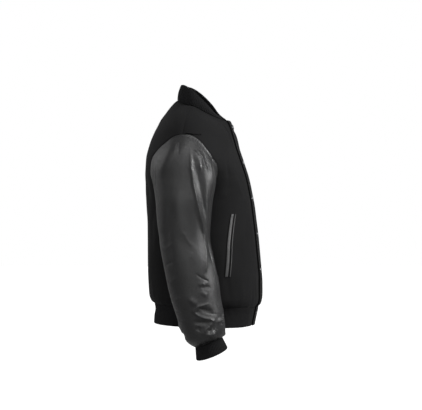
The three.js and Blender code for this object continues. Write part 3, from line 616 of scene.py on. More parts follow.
# %% Node helpers
class Value:
    """One output socket that can be used in arithmetic."""

    def __init__(self, finish, socket):
        self.finish, self.socket = finish, socket

    def maths(self, operation, *terms):
        return self.finish.add("ShaderNodeMath", {"operation": operation}, dict(enumerate(terms)))

    def __add__(self, other):
        return self.maths("ADD", self, other)

    def __sub__(self, other):
        return self.maths("SUBTRACT", self, other)

    def __rsub__(self, other):
        return self.maths("SUBTRACT", other, self)

    def __mul__(self, other):
        return self.maths("MULTIPLY", self, other)

    def __pow__(self, other):
        return self.maths("POWER", self, other)

    __radd__ = __add__
    __rmul__ = __mul__


class Finish:
    """A material in the making, with its constant values set on the shader itself."""

    def __init__(self, name, **constants):
        self.material = bpy.data.materials.new(name)
        self.material.use_nodes = True
        self.tree = self.material.node_tree
        self.shader = self.tree.nodes["Principled BSDF"]
        for socket, value in constants.items():
            self.shader.inputs[socket.replace("_", " ")].default_value = value

    def put(self, value, socket):
        if isinstance(value, Value):
            self.tree.links.new(value.socket, socket)
        else:
            socket.default_value = value

    def add(self, kind, settings, inputs, output=0):
        node = self.tree.nodes.new(kind)
        for name, value in settings.items():
            setattr(node, name, value)
        for name, value in inputs.items():
            self.put(value, node.inputs[name])
        return Value(self, node.outputs[output])

    def noise(self, where, scale, detail=2, roughness=0.5):
        inputs = {"Vector": where, "Scale": scale, "Detail": detail, "Roughness": roughness}
        return self.add("ShaderNodeTexNoise", {}, inputs)

    def between(self, low, high, value):
        """A value stretched so that low becomes 0 and high becomes 1."""
        inputs = {"Value": value, "From Min": low, "From Max": high}
        return self.add("ShaderNodeMapRange", {}, inputs)

    def colours(self, factor, first, second):
        inputs = {0: factor, 6: (*first, 1), 7: (*second, 1)}
        return self.add("ShaderNodeMix", {"data_type": "RGBA"}, inputs, 2)

    def bump(self, height, distance, strength=1.0):
        inputs = {"Height": height, "Distance": distance, "Strength": strength}
        self.put(self.add("ShaderNodeBump", {}, inputs), self.shader.inputs["Normal"])

    def set(self, socket, value):
        self.put(value, self.shader.inputs[socket])


# %% [markdown]
# ## Melton wool
#
# The body is melton, a woven wool that is felted and brushed until the weave is gone. It is nearly
# black and has no gloss, but the loose fibres on it catch light at a low angle, which is what the
# sheen is for. Two sizes of noise make the felted clumps and the short fibres between them.

# %% Wool
def make_wool():
    wool = Finish("melton_wool", Roughness=0.95, Specular_IOR_Level=0.08, Sheen_Weight=0.02, Sheen_Roughness=0.5)
    wool.shader.inputs["Sheen Tint"].default_value = (0.55, 0.55, 0.57, 1)
    where = wool.add("ShaderNodeTexCoord", {}, {}, "Object")
    clumps = wool.noise(where, 330, 3, 0.6)
    fibres = wool.noise(where, 1500, 2, 0.6)
    patches = wool.noise(where, 14, 3, 0.55)
    shade = clumps * 0.5 + fibres * 0.3 + patches * 0.2
    factor = wool.between(0.34, 0.66, shade)
    wool.set("Base Color", wool.colours(factor, (0.002, 0.002, 0.0021), (0.0072, 0.0072, 0.0075)))
    wool.set("Roughness", wool.between(-1.2, 1.05, clumps))
    wool.bump(clumps * 0.65 + fibres * 0.35, 0.0008, 0.8)
    return wool.material


WOOL_FINISH = make_wool()

# %% [markdown]
# ## Smooth jacket leather
#
# Chrome-tanned leather shows a net of tiny cells with creases between the larger ones, a soft gloss
# and slightly polished ridges. A cell pattern gives the grain, a stretched noise gives the fine
# wrinkles, and both feed the bump and a little of the roughness; the wrinkles and large patches also
# vary the colour at random. The pocket trim's colour is much paler than the sleeves', and that
# paleness is painted sheen.

# %% Leather
def make_leather(name, dark, light, gloss, grain):
    leather = Finish(name, Roughness=gloss, Specular_IOR_Level=0.5, IOR=1.45)
    where = leather.add("ShaderNodeTexCoord", {}, {}, "Object")
    cells = {"Vector": where, "Scale": grain}
    edges = leather.add("ShaderNodeTexVoronoi", {"feature": "DISTANCE_TO_EDGE"}, cells)
    pebbles = leather.between(0.0, 0.22, edges)
    wrinkles = leather.noise(where, grain * 0.22, 4, 0.6)
    dents = leather.noise(where, grain * 0.06, 3, 0.55)
    patches = leather.noise(where, 18, 3, 0.55)
    factor = leather.between(0.3, 0.72, patches * 0.6 + wrinkles * 0.4)
    leather.set("Base Color", leather.colours(factor, dark, light))
    leather.set("Roughness", gloss - 0.05 + (1 - pebbles) * 0.08 + wrinkles * 0.16)
    leather.bump(pebbles * 0.14 + wrinkles * 0.4 + dents * 0.35, 0.0012, 0.6)
    return leather.material


LEATHER_FINISH = make_leather("smooth_leather", (0.004, 0.004, 0.0043), (0.011, 0.011, 0.0115), 0.28, 850)
# Painted sheen: the trim's pale colour, far lighter than the sleeves' leather, stands in for the gloss on the
# pocket strips; the mottling between its two colours varies at random.
TRIM_FINISH_PAINTED_SHEEN = make_leather("trim_leather_painted_sheen", (0.004, 0.004, 0.0041), (0.045, 0.045, 0.046), 0.4, 420)

# %% [markdown]
# ## Rib knit
#
# The ribs themselves are modelled, so the finish only adds the rows of stitches, in the bump and in
# the colour, which is painted shade: darker in the grooves between the stitch loops and lighter on
# their tops, with a fine fuzz that varies it at random. They follow the band's own map, in metres:
# across the ribs in one direction and along them in the other.

# %% Knit
STITCH_HIGH = 0.0019
STITCH_WIDE = 0.002


def make_knit():
    knit = Finish("rib_knit", Roughness=0.92, Specular_IOR_Level=0.1, Sheen_Weight=0.06, Sheen_Roughness=0.5)
    knit.shader.inputs["Sheen Tint"].default_value = (0.5, 0.5, 0.52, 1)
    place = knit.add("ShaderNodeUVMap", {"uv_map": "cloth"}, {})
    apart = knit.add("ShaderNodeSeparateXYZ", {}, {"Vector": place}, "X")
    up = Value(knit, apart.socket.node.outputs["Y"])
    slant = (apart * (2 * math.pi / STITCH_WIDE)).maths("COSINE", apart * (2 * math.pi / STITCH_WIDE))
    rows = up * (2 * math.pi / STITCH_HIGH) + slant * 1.3
    stitch_loops_and_painted_shade = rows.maths("SINE", rows) * 0.5 + 0.5
    where = knit.add("ShaderNodeTexCoord", {}, {}, "Object")
    fuzz = knit.noise(where, 1400, 2, 0.6)
    # Painted shade: the colour is darker in the grooves between the stitch loops and lighter on their tops; the
    # fuzz adds random tone.
    factor = knit.between(0.2, 1.0, stitch_loops_and_painted_shade * 0.6 + fuzz * 0.4)
    knit.set("Base Color", knit.colours(factor, (0.003, 0.003, 0.0032), (0.011, 0.011, 0.0115)))
    knit.bump(stitch_loops_and_painted_shade * 0.7 + fuzz * 0.3, 0.0004, 0.7)
    return knit.material


KNIT_FINISH = make_knit()

# %% [markdown]
# ## Metal and thread
#
# The snap caps have a dark, worn gunmetal plating, and the topstitching is a thick black polyester
# thread with a faint gloss that sets it off from the matte wool.

# %% Metal and thread
def make_gunmetal():
    metal = Finish("gunmetal", Metallic=1.0)
    where = metal.add("ShaderNodeTexCoord", {}, {}, "Object")
    scratches = metal.noise(where, 900, 3, 0.7)
    wear = metal.noise(where, 260, 2, 0.5)
    factor = metal.between(0.4, 0.7, wear)
    metal.set("Base Color", metal.colours(factor, (0.12, 0.12, 0.125), (0.25, 0.25, 0.26)))
    metal.set("Roughness", scratches * 0.25 + 0.18)
    metal.bump(scratches, 0.00005, 0.4)
    return metal.material


def make_thread():
    thread = Finish("black_thread", Roughness=0.55, Specular_IOR_Level=0.4)
    where = thread.add("ShaderNodeTexCoord", {}, {}, "Object")
    twist = thread.noise(where, 2600, 1, 0.5)
    factor = thread.between(0.35, 0.65, twist)
    thread.set("Base Color", thread.colours(factor, (0.012, 0.012, 0.012), (0.03, 0.03, 0.031)))
    return thread.material


METAL_FINISH = make_gunmetal()
THREAD_FINISH = make_thread()

# %% [markdown]
# ## Wool panels
#
# Each panel is a grid with a row for every few millimetres from the hem to the neck. A row runs from
# the side seam, the armhole or the shoulder seam to the front edge or the middle of the back, and its
# places are spaced evenly along the cloth, so the squares stay even and the finish isn't stretched.

# %% Panel grids
LOW_ROWS, ARM_ROWS, TOP_ROWS = 100, 76, 48
FRONT_COLUMNS, BACK_COLUMNS = 92, 64
SEAM_DEPTH, SEAM_WIDE = 1.3, 5


def panel_rows(back):
    """Start and end of each row of a panel: angles and levels, and the turn beside the armhole."""
    low = np.linspace(0, 1, LOW_ROWS, endpoint=False)
    arm = np.linspace(0, 1, ARM_ROWS, endpoint=False)
    top = np.linspace(0, 1, TOP_ROWS)
    turn = 180 * (1 - arm) if back else 180 * (1 + arm)
    arm_angle, arm_level = armhole_place(turn)
    tip_level = armhole_place(np.zeros(1))[1][0]
    start_angle = np.concatenate([0 * low + 180, arm_angle, 0 * top + 180])
    start_level = np.concatenate(
        [mix(HEM_SEAM, ARMPIT_LEVEL, low), arm_level, mix(tip_level, NECK_LEVEL, top)]
    )
    end_level = np.concatenate(
        [
            mix(HEM_SEAM, CENTRE_ARMPIT, low),
            mix(CENTRE_ARMPIT, CENTRE_TIP, arm),
            mix(CENTRE_TIP, NECK_LEVEL, top),
        ]
    )
    turns = np.concatenate([0 * low + np.nan, turn, 0 * top + np.nan])
    return start_angle, start_level, end_level, turns


def even_rows(surface, starts, ends, columns):
    """Angles and levels of places spaced evenly along rows between starts and ends."""
    fine = np.linspace(0, 1, 65)
    angle = mix(starts[0][:, None], ends[0][:, None], fine)
    level = mix(starts[1][:, None], ends[1][:, None], fine)
    steps = np.linalg.norm(np.diff(surface(angle, level), axis=1), axis=2)
    lengths = np.cumsum(np.pad(steps, ((0, 0), (1, 0))), axis=1)
    share = np.linspace(0, 1, columns + 1)
    t = np.array([np.interp(share * row[-1], row, fine) for row in lengths])
    return mix(starts[0][:, None], ends[0][:, None], t), mix(starts[1][:, None], ends[1][:, None], t)


def along_rows(points):
    """The distance of each place from the start of its row."""
    steps = np.linalg.norm(np.diff(points, axis=1), axis=2)
    return np.cumsum(np.pad(steps, ((0, 0), (1, 0))), axis=1)


def gathers(distance, from_edge):
    """Small uneven puckers where the cloth is eased into a tighter rib."""
    wave = np.sin(distance / 5.3) + 0.7 * np.sin(distance / 8.9 + 1.3) + 0.5 * np.sin(distance / 3.1 + 0.4)
    return wave * 0.42 * np.exp(-((from_edge / 11) ** 2)) * ease(from_edge / 2.5)


def panel_grid(surface, back, end_angle, columns):
    """Places and directions of a panel's outside, with its seams pulled in."""
    start_angle, start_level, end_level, turns = panel_rows(back)
    starts, ends = (start_angle, start_level), (end_angle(end_level), end_level)
    angle, level = even_rows(surface, starts, ends, columns)
    points = surface(angle, level)
    outs = outward(surface, angle, level, 0.4, 0.4)
    distance = along_rows(points)
    beside = ~np.isnan(turns)
    edge = outs[:, 0].copy()
    edge[beside] = armhole_out(turns[beside])
    near = np.exp(-((distance / 8) ** 2))[..., None]
    turned = unit(mix(outs, edge[:, None], near))
    points = seam_dip(points, turned, distance, SEAM_DEPTH, SEAM_WIDE)
    from_hem = level - HEM_SEAM
    points = seam_dip(points, outs, from_hem, SEAM_DEPTH, SEAM_WIDE)
    points = seam_dip(points, outs, NECK_LEVEL - level, SEAM_DEPTH, SEAM_WIDE)
    return points + outs * gathers(distance, from_hem)[..., None], outs


def mirrored(points, outs):
    """The same grid on the wearer's other side."""
    flip = np.array([-1, 1, 1])
    return points * flip, outs * flip


# %% Fronts
def make_front(name, step, left):
    surface = front_surface(step, BODY_CREASES)
    points, outs = panel_grid(surface, False, lambda level: angle_at_x(REACH, level), FRONT_COLUMNS)
    if left:
        points, outs = mirrored(points, outs)
    return cloth_sheet(name, points, outs, WOOL, WOOL_FINISH)


front_right = make_front("wool_front_right", -OVERLAP_STEP, False)
front_left = make_front("wool_front_left", OVERLAP_STEP, True)


# %% Back
def make_back():
    surface = lambda angle, level: body_point(angle, level, BODY_CREASES)
    points, outs = panel_grid(surface, True, lambda level: 90 + 0 * level, BACK_COLUMNS)
    other_points, other_outs = mirrored(points[:, -2::-1], outs[:, -2::-1])
    points, outs = np.hstack([points, other_points]), np.hstack([outs, other_outs])
    return cloth_sheet("wool_back", points, outs, WOOL, WOOL_FINISH)


back = make_back()

# %% [markdown]
# ## Leather sleeves
#
# A two-piece sleeve: the larger piece shows from outside, the smaller one lies against the body, and
# two seams run down the arm. The left arm hangs a little further back than the right one.

# %% Sleeves
CAP_STEPS, ARM_STEPS, WRIST_STEPS = 78, 108, 124
WRIST_FROM = 1.58
FRONT_TURN = 14
CREASED_COLUMNS, SMOOTH_COLUMNS, UNDER_COLUMNS = 76, 30, 62
WRIST_PUCKER = 1.1
ROLL_HIGH, ROLL_FROM_SEAM, ROLL_WIDE = 1.9, 5, 2.6
SOFT_ROWS = 26


def grid_outs(points):
    """The directions out of a sleeve's grid, from its neighbouring places."""
    return unit(np.cross(np.gradient(points, axis=1), np.gradient(points, axis=0)))


def soften_cap(points):
    """Evens out the bend where the cap ends and the tube begins."""
    steps = np.arange(-SOFT_ROWS, SOFT_ROWS + 1)
    weights = np.exp(-((2.2 * steps / SOFT_ROWS) ** 2))
    ends = ((SOFT_ROWS, SOFT_ROWS), (0, 0), (0, 0))
    padded = np.pad(points, ends, mode="reflect", reflect_type="odd")
    soft = sum(weight * padded[i : i + len(points)] for i, weight in enumerate(weights / weights.sum()))
    near = ease(1 - np.abs(np.arange(len(points)) - CAP_STEPS) / (2 * SOFT_ROWS))
    return mix(points, soft, near[:, None, None])


def sleeve_grid(turns, swing):
    """Places and directions of one piece of a sleeve; its rows are closest where it creases."""
    cap = np.linspace(0, 1, CAP_STEPS, endpoint=False)
    arm = np.linspace(1, WRIST_FROM, ARM_STEPS, endpoint=False)
    turn, row = np.meshgrid(turns, np.concatenate([cap, arm, np.linspace(WRIST_FROM, 2, WRIST_STEPS)]))
    plain = soften_cap(plain_sleeve(turn, row, swing))
    height = fold_height(SLEEVE_FOLDS, SLEEVE_RADIUS, turn, plain[..., 2])
    height += fold_height(SLEEVE_CREASES, SLEEVE_RADIUS, turn, plain[..., 2], True)
    height *= ease(row / 0.16) * ease((2 - row) / 0.04)
    points = plain + grid_outs(plain) * height[..., None]
    outs = grid_outs(points)
    armhole = armhole_out(turn[0])
    down = np.cumsum(np.pad(np.linalg.norm(np.diff(points, axis=0), axis=2), ((1, 0), (0, 0))), axis=0)
    turned = unit(mix(outs, armhole[None], np.exp(-((down / 8) ** 2))[..., None]))
    points = seam_dip(points, turned, down, SEAM_DEPTH, 3)
    roll = ROLL_HIGH * (0.55 - 0.45 * sin(turn)) * np.exp(-(((down - ROLL_FROM_SEAM) / ROLL_WIDE) ** 2))
    points = points + turned * roll[..., None]
    across = along_rows(points)
    points = seam_dip(points, outs, across, 0.9, 3)
    points = seam_dip(points, outs, across[:, -1:] - across, 0.9, 3)
    from_wrist = down[-1:] - down
    around = np.radians(turn) * SLEEVE_RADIUS
    pucker = np.sin(around / 3.4) + 0.6 * np.sin(around / 5.6 + 0.8)
    fade = np.exp(-((from_wrist / 9) ** 2)) * ease(from_wrist / 3)
    return points + outs * (WRIST_PUCKER * pucker * fade)[..., None], outs


def make_sleeve(name, turns, left):
    points, outs = sleeve_grid(turns, LEFT_SWING if left else 0)
    if left:
        points, outs = mirrored(points, outs)
    return cloth_sheet(name, points, outs, LEATHER, LEATHER_FINISH)


creased = np.linspace(-SLEEVE_SEAM, FRONT_TURN, CREASED_COLUMNS, endpoint=False)
TOP_TURNS = np.concatenate([creased, np.linspace(FRONT_TURN, SLEEVE_SEAM, SMOOTH_COLUMNS)])
UNDER_TURNS = np.linspace(SLEEVE_SEAM, 360 - SLEEVE_SEAM, UNDER_COLUMNS)
sleeves = {}
for side in ("right", "left"):
    sleeves[f"top_{side}"] = make_sleeve(f"leather_sleeve_top_{side}", TOP_TURNS, side == "left")
    sleeves[f"under_{side}"] = make_sleeve(f"leather_sleeve_under_{side}", UNDER_TURNS, side == "left")

# %% [markdown]
# ## Knit bands
#
# Collar, cuffs and hem are one kind of piece: a double layer of rib knit, folded at the free edge.
# Its section is drawn once, down the outside, round the fold and up the inside, and its ribs run over
# the fold. At the seam the band is tucked a little way into the cloth.

# %% Bands
FINE_PITCH = 4
FINE_HEIGHT = 0.9
RIB_STEPS = 6
TUCK = 2
FOLD_STEPS = 6


def band(name, place, length, width, steps, ring, material):
    """A folded rib band; place gives a point and the direction out for a share across and a drop."""
    ribs = round(length / FINE_PITCH)
    columns = ribs * RIB_STEPS if ring else ribs * RIB_STEPS + 1
    share = np.arange(columns) / (ribs * RIB_STEPS)
    ridge = np.abs(np.sin(math.pi * share * ribs)) ** 0.8 * FINE_HEIGHT
    last = 1 - RIB / 2 / width
    drops = np.linspace(0, last, steps)
    lean = np.linspace(0, 180, FOLD_STEPS + 2)[1:-1]
    section = [(-TUCK / width, 0, -1.6, 0)] + [(drop, 0, 0, 1) for drop in drops]
    section += [(last, turn, 0, 1) for turn in lean]
    section += [(drop, 180, 0, 1) for drop in drops[::-1]] + [(-TUCK / width, 180, -0.6, 0)]
    rows, directions = [], []
    for drop, turn, sunk, ribbed in section:
        point, out = place(share, np.full(columns, drop))
        down = unit(place(share, np.full(columns, 1.0))[0] - place(share, np.full(columns, 0.0))[0])
        normal = out * cos(turn) + down * sin(turn)
        point = point + out * (cos(turn) - 1) * RIB / 2 + down * sin(turn) * RIB / 2
        rows.append(point + normal * (ridge * ribbed + sunk)[:, None])
        directions.append(normal)
    points, normals = np.array(rows), np.array(directions)
    points = np.concatenate([points, points[:1]])
    return finish_band(name, points, normals, ring, material)


def finish_band(name, points, normals, ring, material):
    """Closes a band's section and ends, and gives it a map in metres."""
    rows, columns = points.shape[:2]
    down = np.cumsum(np.pad(np.linalg.norm(np.diff(points, axis=0), axis=2).mean(axis=1), (1, 0)))
    across = np.cumsum(np.pad(np.linalg.norm(np.diff(points[rows // 4], axis=0), axis=1), (1, 0)))
    places = points[:-1].reshape(-1, 3)
    number = np.arange((rows - 1) * columns).reshape(rows - 1, columns)
    number = np.vstack([number, number[:1]])
    step = across[1] - across[0]
    if ring:
        number = np.hstack([number, number[:, :1]])
        across = np.append(across, across[-1] + step)
    corner = [number[:-1, :-1], number[:-1, 1:], number[1:, 1:], number[1:, :-1]]
    faces = np.stack([part.ravel() for part in corner], axis=1)
    u, v = np.meshgrid(across * MM, down * MM)
    maps = [(u[:-1, :-1], v[:-1, :-1]), (u[:-1, 1:], v[:-1, 1:]), (u[1:, 1:], v[1:, 1:]), (u[1:, :-1], v[1:, :-1])]
    uvs = np.stack([np.stack([a.ravel(), b.ravel()], axis=1) for a, b in maps], axis=1)
    flat = normals.reshape(-1, 3)
    ordered = facing_out(places, faces, flat)
    if ordered is not faces:
        uvs = uvs[:, ::-1]
    listed = [list(face) for face in ordered]
    flat_uvs = uvs.reshape(-1, 2)
    if not ring:
        first, last = list(number[:-1, 0]), list(number[:-1, -1])
        turned = ordered is not faces
        listed += [first if turned else first[::-1], last[::-1] if turned else last]
        flat_uvs = np.vstack([flat_uvs, np.zeros((len(first) + len(last), 2))])
    piece = new_piece(name, places, listed, material)
    layer = piece.data.uv_layers.new(name="cloth")
    layer.data.foreach_set("uv", flat_uvs.ravel())
    apply_modifiers(piece)
    print(name, len(listed), "faces, about", round(across[-1]), "mm long")
    return piece


# %% Collar
COLLAR_HALF, COLLAR_SIDE, COLLAR_BACK, COLLAR_FRONT = 72, 2, 43, -65.5
COLLAR_TOP = track(
    [-66, -59, -50, -36, -20, -1, 16, 31, 43],
    [-40, -30, -18, 0, 17, 35, 47, 53, 54],
)
COLLAR_STOP = 32
COLLAR_BULGE = 2.5


def collar_point(angle, rise):
    """A place on the collar between the neck seam and its free edge."""
    reach = np.where(sin(angle) < 0, COLLAR_SIDE - COLLAR_FRONT, COLLAR_BACK - COLLAR_SIDE)
    y = COLLAR_SIDE + reach * sin(angle)
    top = spots(COLLAR_HALF * cos(angle), y, COLLAR_TOP(y))
    bulge = COLLAR_BULGE * np.sin(math.pi * np.clip(rise, 0, 1))
    low = neck_point(angle)
    return low + (top - low) * np.asarray(rise)[..., None] + spots(cos(angle) * bulge, sin(angle) * bulge, 0)


def collar_place(share, drop):
    spread = math.degrees(math.acos(COLLAR_STOP / NECK_HALF))
    angle = mix(180 + spread, -spread, share)
    return collar_point(angle, drop), outward(collar_point, angle, drop, 0.5, 0.02)


collar = band("knit_collar", collar_place, 400, 52, 12, False, KNIT_FINISH)

# %% Hem
TAB_REACH = 84
HEM_LENGTH = 930


def hem_places():
    """Angles along the hem rib, spaced evenly round the body."""
    start = angle_at_x(-TAB_REACH, np.array(HEM_EDGE))
    angle = np.linspace(start, 180 - start, 400)
    steps = np.linalg.norm(np.diff(plain_body(angle, -580.0), axis=0), axis=1)
    lengths = np.cumsum(np.pad(steps, (1, 0)))
    return lambda share: np.interp(share * lengths[-1], lengths, angle)


hem_angle = hem_places()


def hem_place(share, drop):
    angle, level = hem_angle(share), mix(HEM_SEAM, HEM_EDGE, drop)
    return plain_body(angle, level), outward(plain_body, angle, level, 0.5, 0.5)


hem = band("knit_hem", hem_place, HEM_LENGTH, HEM_SEAM - HEM_EDGE, 12, False, KNIT_FINISH)


# %% Cuffs
CUFF_X, CUFF_Y, CUFF_Z = -264, -83.7, -673
CUFF_ACROSS, CUFF_DEEP, CUFF_TILT, CUFF_LEAN = 39.5, 41, 14.5, 9
CUFF_LENGTH = 240
CUFF_HIGH = 35


def make_cuff(name, left):
    swing = LEFT_SWING if left else 0

    def surface(turn, drop):
        top = tube_point(turn, 0 * turn + 1, swing)
        low = spots(
            CUFF_X - CUFF_ACROSS * cos(turn),
            CUFF_Y + CUFF_DEEP * sin(turn) + swing,
            CUFF_Z - CUFF_TILT * sin(turn) - CUFF_LEAN * cos(turn),
        )
        return top + (low - top) * np.asarray(drop)[..., None]

    def place(share, drop):
        turn = 360 * share
        point, out = surface(turn, drop), outward(surface, turn, drop, 0.5, 0.02)
        return mirrored(point, out) if left else (point, out)

    return band(name, place, CUFF_LENGTH, CUFF_HIGH, 9, True, KNIT_FINISH)


cuffs = {side: make_cuff(f"knit_cuff_{side}", side == "left") for side in ("right", "left")}

# %% [markdown]
# ## Hem tabs
#
# In front the rib stops and a plain wool tab carries the lowest snap, as a rib can't hold one.

# %% Hem tabs
TAB_ROWS, TAB_COLUMNS = 20, 40


def make_tab(name, step, left):
    surface = front_surface(step)
    level = np.linspace(HEM_SEAM, HEM_EDGE, TAB_ROWS)
    start = angle_at_x(-TAB_REACH, np.full(TAB_ROWS, HEM_EDGE)) + 0.1
    end = angle_at_x(REACH, level)
    angle, levels = even_rows(surface, (start, level), (end, level), TAB_COLUMNS)
    points, outs = surface(angle, levels), outward(surface, angle, levels, 0.5, 0.5)
    points = seam_dip(points, outs, HEM_SEAM - levels, SEAM_DEPTH, SEAM_WIDE)
    points = seam_dip(points, outs, along_rows(points), SEAM_DEPTH, 3)
    if left:
        points, outs = mirrored(points, outs)
    return cloth_sheet(name, points, outs, WOOL, WOOL_FINISH)


tab_right = make_tab("wool_tab_right", -OVERLAP_STEP, False)
tab_left = make_tab("wool_tab_left", OVERLAP_STEP, True)

# %% [markdown]
# ## Pocket strips
#
# The slanted pocket is a slit with a wide leather welt behind it and a narrow lip in front. Both are
# leather strips on the wool, and their edges are rounded like folded leather.

# %% Pockets
POCKET_TOP_X, POCKET_TOP = -137.5, -305
POCKET_LOW_X, POCKET_LOW = -177.5, -473
POCKET_BOW = 4
STRIP_ROWS = 90
STRIP_RISE = 2.1


def strip_grid(start, end, columns):
    """Places of a strip beside the pocket's slit, from one distance to another."""
    share = np.linspace(0, 1, STRIP_ROWS + 1)
    level = mix(POCKET_TOP, POCKET_LOW, share)
    bow = POCKET_BOW * np.sin(math.pi * share)
    slit = angle_at_x(mix(POCKET_TOP_X, POCKET_LOW_X, share) - bow, level)
    step = np.linalg.norm(body_point(slit + 0.5, level) - body_point(slit - 0.5, level), axis=1)
    across = np.linspace(start, end, columns + 1)
    angle = slit[:, None] + across / step[:, None]
    levels = np.broadcast_to(level[:, None], angle.shape)
    surface = lambda a, b: body_point(a, b, BODY_CREASES)
    outs = outward(surface, angle, levels, 0.5, 0.5)
    crown = 0.35 * np.sin(math.pi * (across - start) / (end - start))
    return surface(angle, levels) + outs * (STRIP_RISE + crown)[None, :, None], outs


def make_strip(name, start, end, columns, left):
    points, outs = strip_grid(start, end, columns)
    if left:
        points, outs = mirrored(points, outs)
    return cloth_sheet(name, points, outs, 2.3, TRIM_FINISH_PAINTED_SHEEN)


strips = {}
for side in ("right", "left"):
    strips[f"welt_{side}"] = make_strip(f"leather_welt_{side}", -11.4, -2.8, 8, side == "left")
    strips[f"lip_{side}"] = make_strip(f"leather_lip_{side}", 2.0, 5.0, 4, side == "left")

# %% [markdown]
# ## Snaps
#
# A snap cap is turned sheet metal: a flat rim, a rolled shoulder and a slightly domed top. It is
# modelled once from a short cylinder, by insets and small extrudes of its top face, and each copy is
# set on the left front's surface by a matrix that goes into its mesh.

# %% Snap cap
SNAP_RADIUS = 7.5
SNAP_HEIGHTS = [-64, -163.5, -263, -362.5, -462, -582]
SNAP_X = -3
SEAM_GAP = 0.3


def make_snap_cap():
    bpy.ops.object.select_all(action="DESELECT")
    bpy.ops.mesh.primitive_cylinder_add(
        vertices=40, radius=SNAP_RADIUS * MM, depth=1.1 * MM, location=(0, 0, 0.55 * MM)
    )
    cap = bpy.context.active_object
    bpy.ops.object.transform_apply(location=True)
    bpy.ops.object.mode_set(mode="EDIT")
    bpy.ops.mesh.select_all(action="DESELECT")
    form = bmesh.from_edit_mesh(cap.data)
    for face in form.faces:
        face.select_set(face.normal.z > 0.9)
    bmesh.update_edit_mesh(cap.data)
    for inset, rise in ((0.7, 0.5), (0.9, 0.45), (0.5, -0.35), (0.6, 0.3), (1.4, 0.35), (1.6, 0.2)):
        bpy.ops.mesh.inset(thickness=inset * MM)
        bpy.ops.transform.translate(value=(0, 0, rise * MM))
    bpy.ops.mesh.select_all(action="SELECT")
    bpy.ops.mesh.remove_doubles(threshold=1e-6)
    bpy.ops.object.mode_set(mode="OBJECT")
    rounding = cap.modifiers.new("edges", "BEVEL")
    rounding.width = 0.18 * MM
    rounding.segments = 2
    rounding.limit_method = "ANGLE"
    rounding.angle_limit = math.radians(35)
    apply_modifiers(cap)
    return cap


snap_cap = make_snap_cap()


def snap_frame(height):
    """Where a snap sits on the left front: its middle, the direction out and one to the side."""
    surface = front_surface(OVERLAP_STEP, BODY_CREASES)
    level = level_at_height(270, height)
    angle = angle_at_x(-SNAP_X, np.array(level))
    middle, out = surface(angle, level), outward(surface, angle, np.array(level), 0.5, 0.5)
    middle, out = mirrored(middle, out)
    side = unit(np.cross(np.array([1.0, 0, 0]), out))
    return middle, out, side


snaps = []
for number, height in enumerate(SNAP_HEIGHTS, 1):
    middle, out, side = snap_frame(height)
    snap = bpy.data.objects.new(f"snap_cap_{number}", snap_cap.data.copy())
    bpy.context.scene.collection.objects.link(snap)
    up = np.cross(out, side)
    turn = Matrix((tuple(side), tuple(up), tuple(out))).transposed().to_4x4()
    snap.data.transform(Matrix.Translation(Vector((middle + out * SEAM_GAP) * MM)) @ turn)
    snap.data.materials.clear()
    snap.data.materials.append(METAL_FINISH)
    snaps.append(snap)
bpy.data.objects.remove(snap_cap)
print("snaps", len(snaps))

# %% [markdown]
# ## Topstitching
#
# A row of thread holds the folded front edge flat and runs beside each pocket strip. One stitch is a
# small grain of thread, and each row is one mesh of many copies, laid along a line on the cloth.

# %% Stitches
STITCH_LONG = 3.2
STITCH_PITCH = 4
STITCH_THICK = 0.75


def one_stitch():
    bpy.ops.object.select_all(action="DESELECT")
    bpy.ops.mesh.primitive_cylinder_add(vertices=6, radius=0.5, depth=1, rotation=(0, math.pi / 2, 0))
    grain = bpy.context.active_object
    bpy.ops.object.transform_apply(rotation=True)
    bpy.ops.object.mode_set(mode="EDIT")
    bpy.ops.mesh.select_all(action="SELECT")
    bpy.ops.mesh.bevel(offset=0.24, segments=1, affect="EDGES")
    bpy.ops.object.mode_set(mode="OBJECT")
    places = np.array([vertex.co[:] for vertex in grain.data.vertices])
    faces = [list(polygon.vertices) for polygon in grain.data.polygons]
    bpy.data.objects.remove(grain)
    return places, faces


GRAIN_PLACES, GRAIN_FACES = one_stitch()


def stitch_row(name, points, outs, left):
    """A row of stitches along a line of places with their directions out."""
    if left:
        points, outs = mirrored(points, outs)
    steps = np.linalg.norm(np.diff(points, axis=0), axis=1)
    lengths = np.cumsum(np.pad(steps, (1, 0)))
    at = np.arange(STITCH_PITCH / 2, lengths[-1] - STITCH_PITCH / 2, STITCH_PITCH)
    middle = np.stack([np.interp(at, lengths, points[:, i]) for i in range(3)], axis=1)
    out = unit(np.stack([np.interp(at, lengths, outs[:, i]) for i in range(3)], axis=1))
    ahead = np.stack([np.interp(at + 1, lengths, points[:, i]) for i in range(3)], axis=1)
    along = unit(ahead - middle)
    side = np.cross(out, along)
    places, faces = [], []
    for centre, axis, cross, up in zip(middle, along, side, out):
        local = GRAIN_PLACES * [STITCH_LONG, STITCH_THICK, STITCH_THICK]
        first = len(places) * len(GRAIN_PLACES)
        places.append(centre + up * 0.12 + local @ np.array([axis, cross, up]))
        faces += [[first + corner for corner in face] for face in GRAIN_FACES]
    piece = new_piece(name, np.concatenate(places), faces, THREAD_FINISH)
    apply_modifiers(piece)
    return piece


EDGE_STITCH = 6.5
front_rows = []
for side, left, step in (("left", True, OVERLAP_STEP), ("right", False, -OVERLAP_STEP)):
    surface = front_surface(step, BODY_CREASES)
    level = np.linspace(HEM_EDGE + 4, NECK_LEVEL - 1, 400)
    angle = angle_at_x(REACH - EDGE_STITCH, level)
    points, outs = surface(angle, level), outward(surface, angle, level, 0.5, 0.5)
    front_rows.append(stitch_row(f"stitches_front_{side}", points, outs, left))

